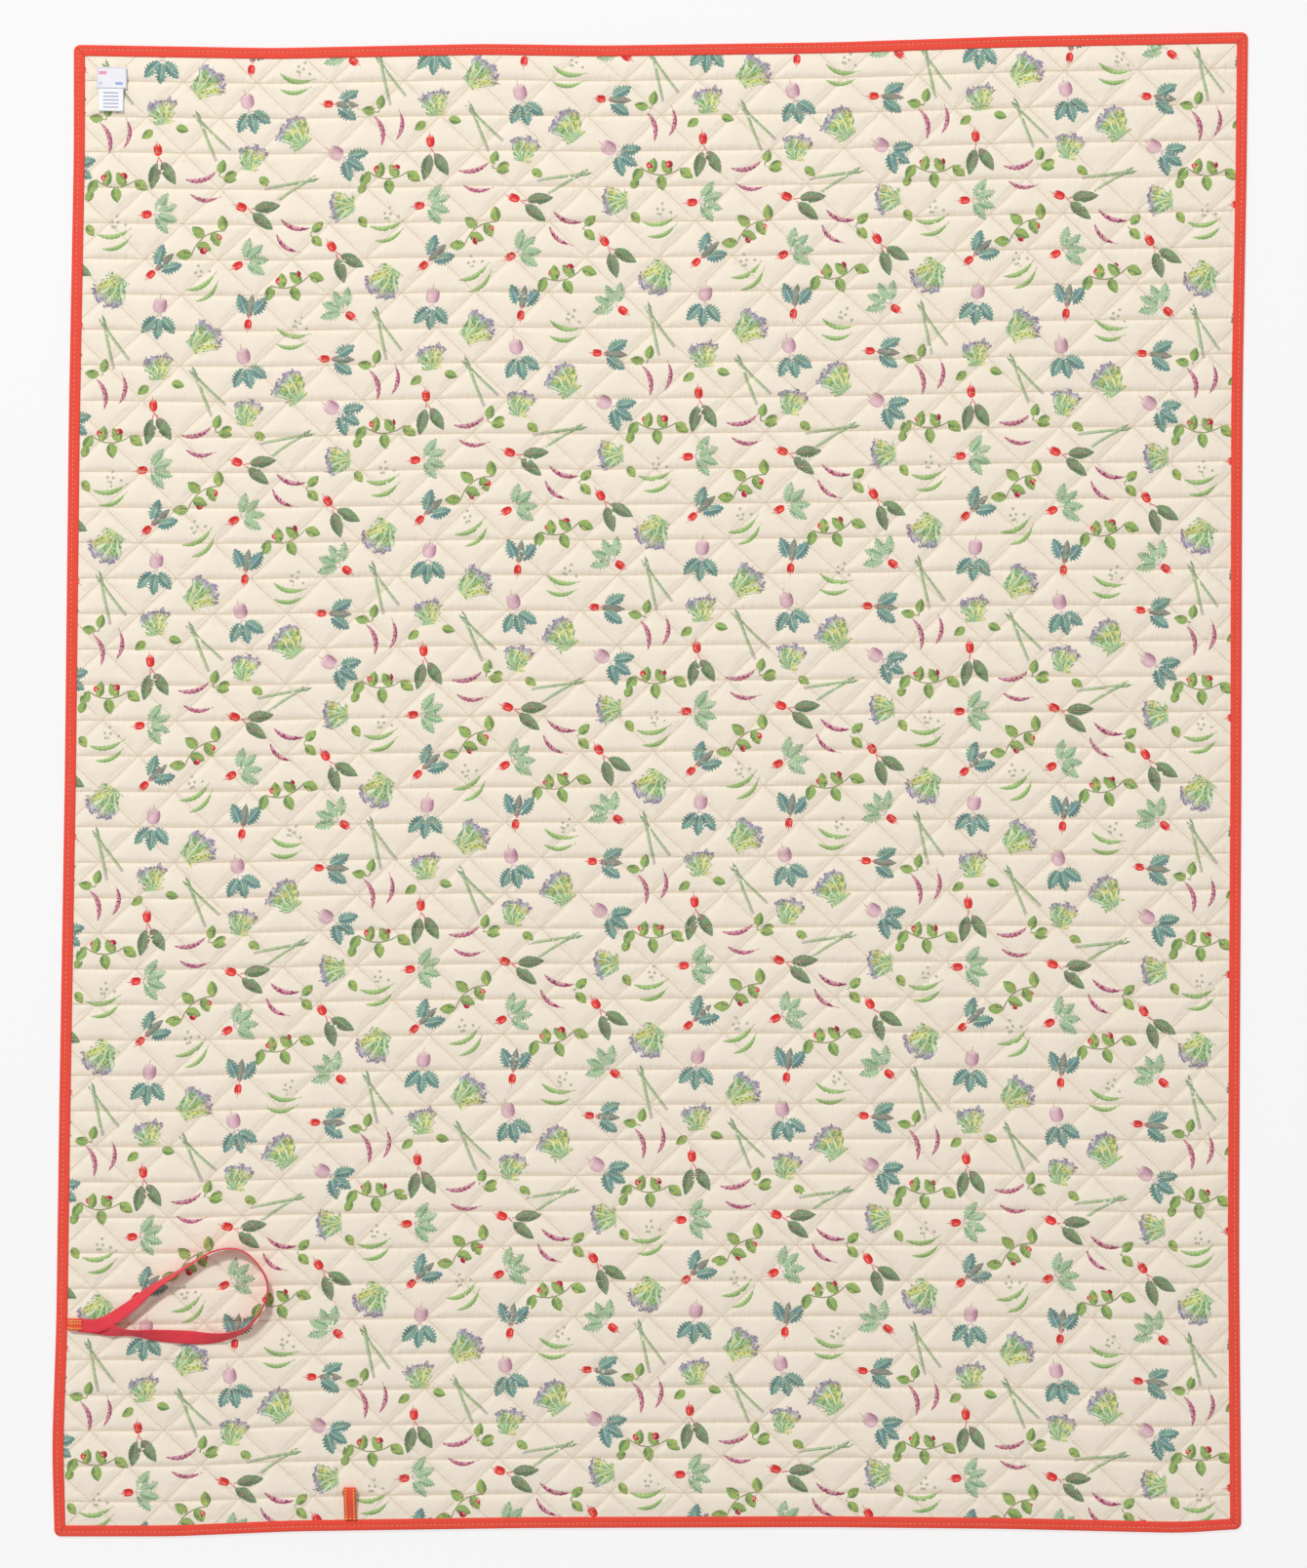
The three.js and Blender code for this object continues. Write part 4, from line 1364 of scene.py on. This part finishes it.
# %% [markdown]
# The elastic is one flat band that leaves the tab, turns on its edge, runs round the
# far end standing up, and comes back to lie flat below. Its middle line is a short list
# of stations: place from the root in millimetres, tilt in degrees and how far the band
# is off the cloth. A smooth curve runs through them, and a thin rectangle is carried
# along that curve and turned by the tilt.

# %% Elastic
ELASTIC_ROUTE = [
    (14.3, -0.5, 0, 2.6), (24, -1.4, 0, 2.6), (34, -1.5, 5, 2.4), (50, 4.5, 18, 2),
    (76, 22.5, 35, 1), (101, 43.5, 60, 0.4), (127, 60, 76, 0), (152, 76, 86, 0),
    (171, 86, 90, 0), (192, 89.5, 92, 0), (210, 84.5, 94, 0), (226, 69, 94, 0),
    (236, 50.5, 92, 0), (237, 31.5, 90, 0), (228, 10.5, 86, 0), (214, -6, 76, 0),
    (197, -14, 60, 0), (173, -17.5, 36, 0), (141, -15.5, 8, 0), (107, -12.5, 28, 0.2),
    (78, -9.5, 58, 0.3), (58, -7.5, 38, 0.5), (42, -4.6, 8, 0.8), (28, -2.4, 0, 1.1),
    (14.3, -1, 0, 1.1),
]
ELASTIC_WIDTH = 16 * MM
ELASTIC_THICKNESS = 1.2 * MM
ELASTIC_FLOOR = 8.4 * MM
SMOOTH_STEPS = 6


def smooth_route(stations, steps):
    """A Catmull-Rom curve through every station."""
    route = np.array(stations, float)
    route = np.concatenate([route[:1] * 2 - route[1:2], route, route[-1:] * 2 - route[-2:-1]])
    t = np.linspace(0, 1, steps, endpoint=False)[:, None]
    pieces = []
    for before, start, end, after in zip(route, route[1:], route[2:], route[3:]):
        slope_in, slope_out = (end - before) / 2, (after - start) / 2
        pieces.append(start * (2 * t ** 3 - 3 * t ** 2 + 1) + slope_in * (t ** 3 - 2 * t ** 2 + t)
                      + end * (3 * t ** 2 - 2 * t ** 3) + slope_out * (t ** 3 - t ** 2))
    return np.concatenate([*pieces, route[-2:-1]])


def band_mesh(stations):
    """Points and faces of a flat band along a route in millimetres."""
    route = smooth_route(stations, SMOOTH_STEPS)
    middle = route[:, :2] * MM + (ROOT_X, ROOT_Y)
    ahead = np.gradient(middle, axis=0)
    ahead /= np.hypot(*ahead.T)[:, None]
    tilt = np.radians(route[:, 2])
    level = ELASTIC_FLOOR + route[:, 3] * MM + ELASTIC_WIDTH / 2 * np.abs(np.sin(tilt))
    level += ELASTIC_THICKNESS / 2 * np.abs(np.cos(tilt))
    side = np.stack([ahead[:, 1] * np.cos(tilt), -ahead[:, 0] * np.cos(tilt), np.sin(tilt)], 1)
    face = np.cross(side, np.column_stack([ahead, np.zeros(len(ahead))]))
    centre = np.column_stack([middle, level])
    lower = [(-0.5, -0.3), (-0.49, -0.5), (-0.25, -0.5), (0, -0.5), (0.25, -0.5), (0.49, -0.5),
             (0.5, -0.3)]
    outline = lower + [(-w, -t) for w, t in lower]
    rings = [centre + side * (w * ELASTIC_WIDTH) + face * (t * ELASTIC_THICKNESS)
             for w, t in outline]
    points = np.stack(rings, 1)
    size = len(outline)
    faces = [tuple(range(size)), tuple(range((len(route) - 1) * size, len(route) * size))[::-1]]
    for station in range(len(route) - 1):
        for k in range(size):
            here, after = station * size + k, station * size + (k + 1) % size
            faces.append((here, here + size, after + size, after))
    run = np.concatenate([[0], np.cumsum(np.hypot(*np.diff(middle, axis=0).T))])
    place = np.stack([np.repeat(run, size), np.tile([w * ELASTIC_WIDTH for w, _ in outline],
                                                    len(route))], 1)
    return points.reshape(-1, 3), faces, place


band_points, band_faces, band_place = band_mesh(ELASTIC_ROUTE)
elastic = make_piece("elastic_band", band_points, band_faces, red_elastic)
add_uv(elastic, band_place)
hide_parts("elastic_loop")
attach(elastic, "strap")
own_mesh(elastic)

# %% [markdown]
# The tab is sewn with three bright rows, and the hanging loop with two and one across.
# Each stitch line is drawn flat, then dropped on to the tape below it, so the stitches
# follow its surface.

# %% Bright stitches
DROP_FROM = 0.1


def dropped(piece, line, lift):
    """The line, with each point moved down to the piece's top surface."""
    surface = BVHTree.FromPolygons([vertex.co for vertex in piece.data.vertices],
                                   [face.vertices for face in piece.data.polygons])
    above = lay(np.column_stack([line, np.full(len(line), DROP_FROM)]))
    heights = [surface.ray_cast(Vector(place), Vector((0, 0, -1)))[0] for place in above]
    return np.array([(*place, hit.z + lift) for place, hit in zip(line, heights) if hit])


def straight(x_start, y_start, x_end, y_end, count=30):
    """Points on a straight line."""
    return np.stack([np.linspace(x_start, x_end, count), np.linspace(y_start, y_end, count)], 1)


STITCH_LIFT = 0.15 * MM
TAB_ROW = 4.4 * MM
TAB_MIDDLE_ROW = 1.2 * MM
TAB_ROW_START = ROOT_X + 2 * MM
TAB_ROW_END = ROOT_X + 16.5 * MM
tab_lines = [straight(TAB_ROW_START, ROOT_Y + side, TAB_ROW_END, ROOT_Y + side)
             for side in (TAB_ROW, TAB_MIDDLE_ROW, -TAB_ROW)]
tab_stitches = sew("tab_stitches", [dropped(tab, line, STITCH_LIFT) for line in tab_lines],
                   pitch=3.1 * MM, length=2.3 * MM, width=1.2 * MM, thread=amber_thread, seed=3)
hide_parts("strap_tab_stitching")
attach(tab_stitches, "strap")

LOOP_X = -0.35
LOOP_ROOT_Y = -0.8765
LOOP_ROW = 4.7 * MM
LOOP_ROW_LENGTH = 37 * MM
loop_lines = [straight(LOOP_X + side, LOOP_ROOT_Y + 1 * MM, LOOP_X + side,
                       LOOP_ROOT_Y + LOOP_ROW_LENGTH) for side in (-LOOP_ROW, LOOP_ROW)]
cross_y = LOOP_ROOT_Y + 1.5 * MM
loop_lines.append(straight(LOOP_X - LOOP_ROW, cross_y, LOOP_X + LOOP_ROW, cross_y))
loop_stitches = sew("loop_stitches", [dropped(loop, line, STITCH_LIFT) for line in loop_lines],
                    pitch=3.2 * MM, length=2.4 * MM, width=1.2 * MM, thread=amber_thread, seed=4)
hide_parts("hang_loop_stitching")
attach(loop_stitches, "hanging_loop")

# %% [markdown]
# Two labels are sewn into the corner. The upper one is a woven ribbon stitched down
# all round. The care label hangs loose beneath it, so it curls up a little at its
# free end. Any mark is left out: plain bars stand where the printing would be.

# %% Labels
RIBBON_THICKNESS = 0.35 * MM


def label_finish(name, base, bars):
    """Smooth ribbon with plain bars, each as (left, right, bottom, top, colour)."""
    f = Finish(name, {"Specular IOR Level": 0.45, "Sheen Weight": 0.1})
    cloth = f.uv("label")
    u, v, _ = f.split(cloth)
    color = f.mix(f.noise(cloth, 6, 2) * 0.3, base, tuple(part * 0.9 for part in base))
    for left, right, bottom, top, paint in bars:
        inside_u = f.ramp(abs(u - (left + right) / 2) - (right - left) / 2, 0.012, 0.0)
        inside_v = f.ramp(abs(v - (bottom + top) / 2) - (top - bottom) / 2, 0.012, 0.0)
        color = f.mix(inside_u * inside_v * 0.85, color, paint)
    threads = (v * 500).sine()
    return f.finish(color, f.bump(threads, 0.15, 0.1 * MM), 0.5 + threads * 0.05)


def make_label(name, node, curl, finish_made, slip):
    """A thin closed panel over a solid label, slipped a little and curled at its lower end."""
    low, high = (corner + Vector((*slip, 0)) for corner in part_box(node))
    steps_x, steps_y = 19, 15
    x, y = np.meshgrid(np.linspace(low.x, high.x, steps_x), np.linspace(low.y, high.y, steps_y))
    u = (x - low.x) / (high.x - low.x)
    v = (y - low.y) / (high.y - low.y)
    wave = 0.18 * MM * np.sin(u * 7 + v * 3) * np.sin(v * 3.1)
    lift = curl * (1 - v) ** 2 + wave * (0.3 + v) + 0.1 * MM
    count = steps_x * steps_y
    levels = [low.z + lift, low.z + lift + RIBBON_THICKNESS]
    points = np.concatenate([np.stack([x, y, level], -1).reshape(-1, 3) for level in levels])
    number, squares = net_faces(steps_x, steps_y)
    top = (squares + count).tolist()
    bottom = squares[:, ::-1].tolist()
    ring = border(number)
    sides = [(p, q, q + count, p + count) for p, q in zip(ring, ring[1:] + ring[:1])]
    piece = make_piece(name, points, top + bottom + sides, finish_made)
    add_uv(piece, np.tile(np.stack([u, v], -1).reshape(-1, 2), (2, 1)), "label")
    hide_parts(node)
    return piece


WHITE_RIBBON = rgb(240, 238, 246)
GREY_PRINT = rgb(118, 130, 178)
upper_bars = [(0.08, 0.32, 0.66, 0.8, rgb(232, 132, 168)),
              (0.1, 0.16, 0.2, 0.3, rgb(196, 160, 200)),
              (0.62, 0.86, 0.2, 0.3, rgb(92, 150, 214))]
care_bars = [(0.2, 0.8, 0.8 - 0.16 * k, 0.84 - 0.16 * k, GREY_PRINT) for k in range(5)]
LABEL_SLIP = (1.4 * MM, -2.6 * MM)
CARE_SLIP = (3.4 * MM, -2.2 * MM)
brand = make_label("upper_label", "brand_label", 0,
                   label_finish("ribbon", WHITE_RIBBON, upper_bars), LABEL_SLIP)
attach(brand, "upper_half")
edge_low, edge_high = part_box("brand_label_stitching")
label_ring = ring_line(edge_low.x, edge_high.x, edge_low.y, edge_high.y, edge_low.z - 0.1 * MM)
label_ring[:, :2] += LABEL_SLIP
label_stitches = sew("label_stitches", [label_ring], pitch=2.2 * MM, length=1.6 * MM,
                     width=0.4 * MM, thread=thread_finish("white_thread", rgb(232, 230, 240)))
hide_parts("brand_label_stitching")
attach(label_stitches, "upper_half")
care = make_label("loose_care_label", "care_label", 1.2 * MM,
                  label_finish("care_ribbon", rgb(246, 246, 248), care_bars), CARE_SLIP)
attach(care, "care_tag")

# %% [markdown]
# The blanket lies on a plain pale floor, in a bright room. A large soft lamp stands
# high at the top left, so each pillow is a little darker at its lower right, and the
# white walls fill in the shadows.

# %% Floor and light
floor_finish = Finish("pale_floor", {"Roughness": 0.9, "Specular IOR Level": 0.1,
                                     "Emission Color": (1, 1, 1, 1), "Emission Strength": 0.7})
FLOOR_SIZE = 40
bpy.ops.mesh.primitive_plane_add(size=FLOOR_SIZE)
floor = bpy.context.object
floor.name = "floor"
floor.data.materials.append(floor_finish.finish(rgb(136, 136, 136)))

world = bpy.data.worlds.new("white_room")
world.use_nodes = True
walls = world.node_tree.nodes["Background"]
walls.inputs["Color"].default_value = (1, 1, 1, 1)
walls.inputs["Strength"].default_value = 0.51
bpy.context.scene.world = world

lamp_data = bpy.data.lights.new("soft_lamp", "AREA")
lamp_data.shape = "DISK"
lamp_data.size = 1.3
lamp_data.energy = 540
lamp = put_in_scene("soft_lamp", lamp_data)
lamp.location = (-3.1, 5.6, 7.7)
lamp.rotation_euler = lamp.location.to_track_quat("Z", "Y").to_euler()
bpy.context.scene.view_settings.view_transform = "Standard"
print("light ready")
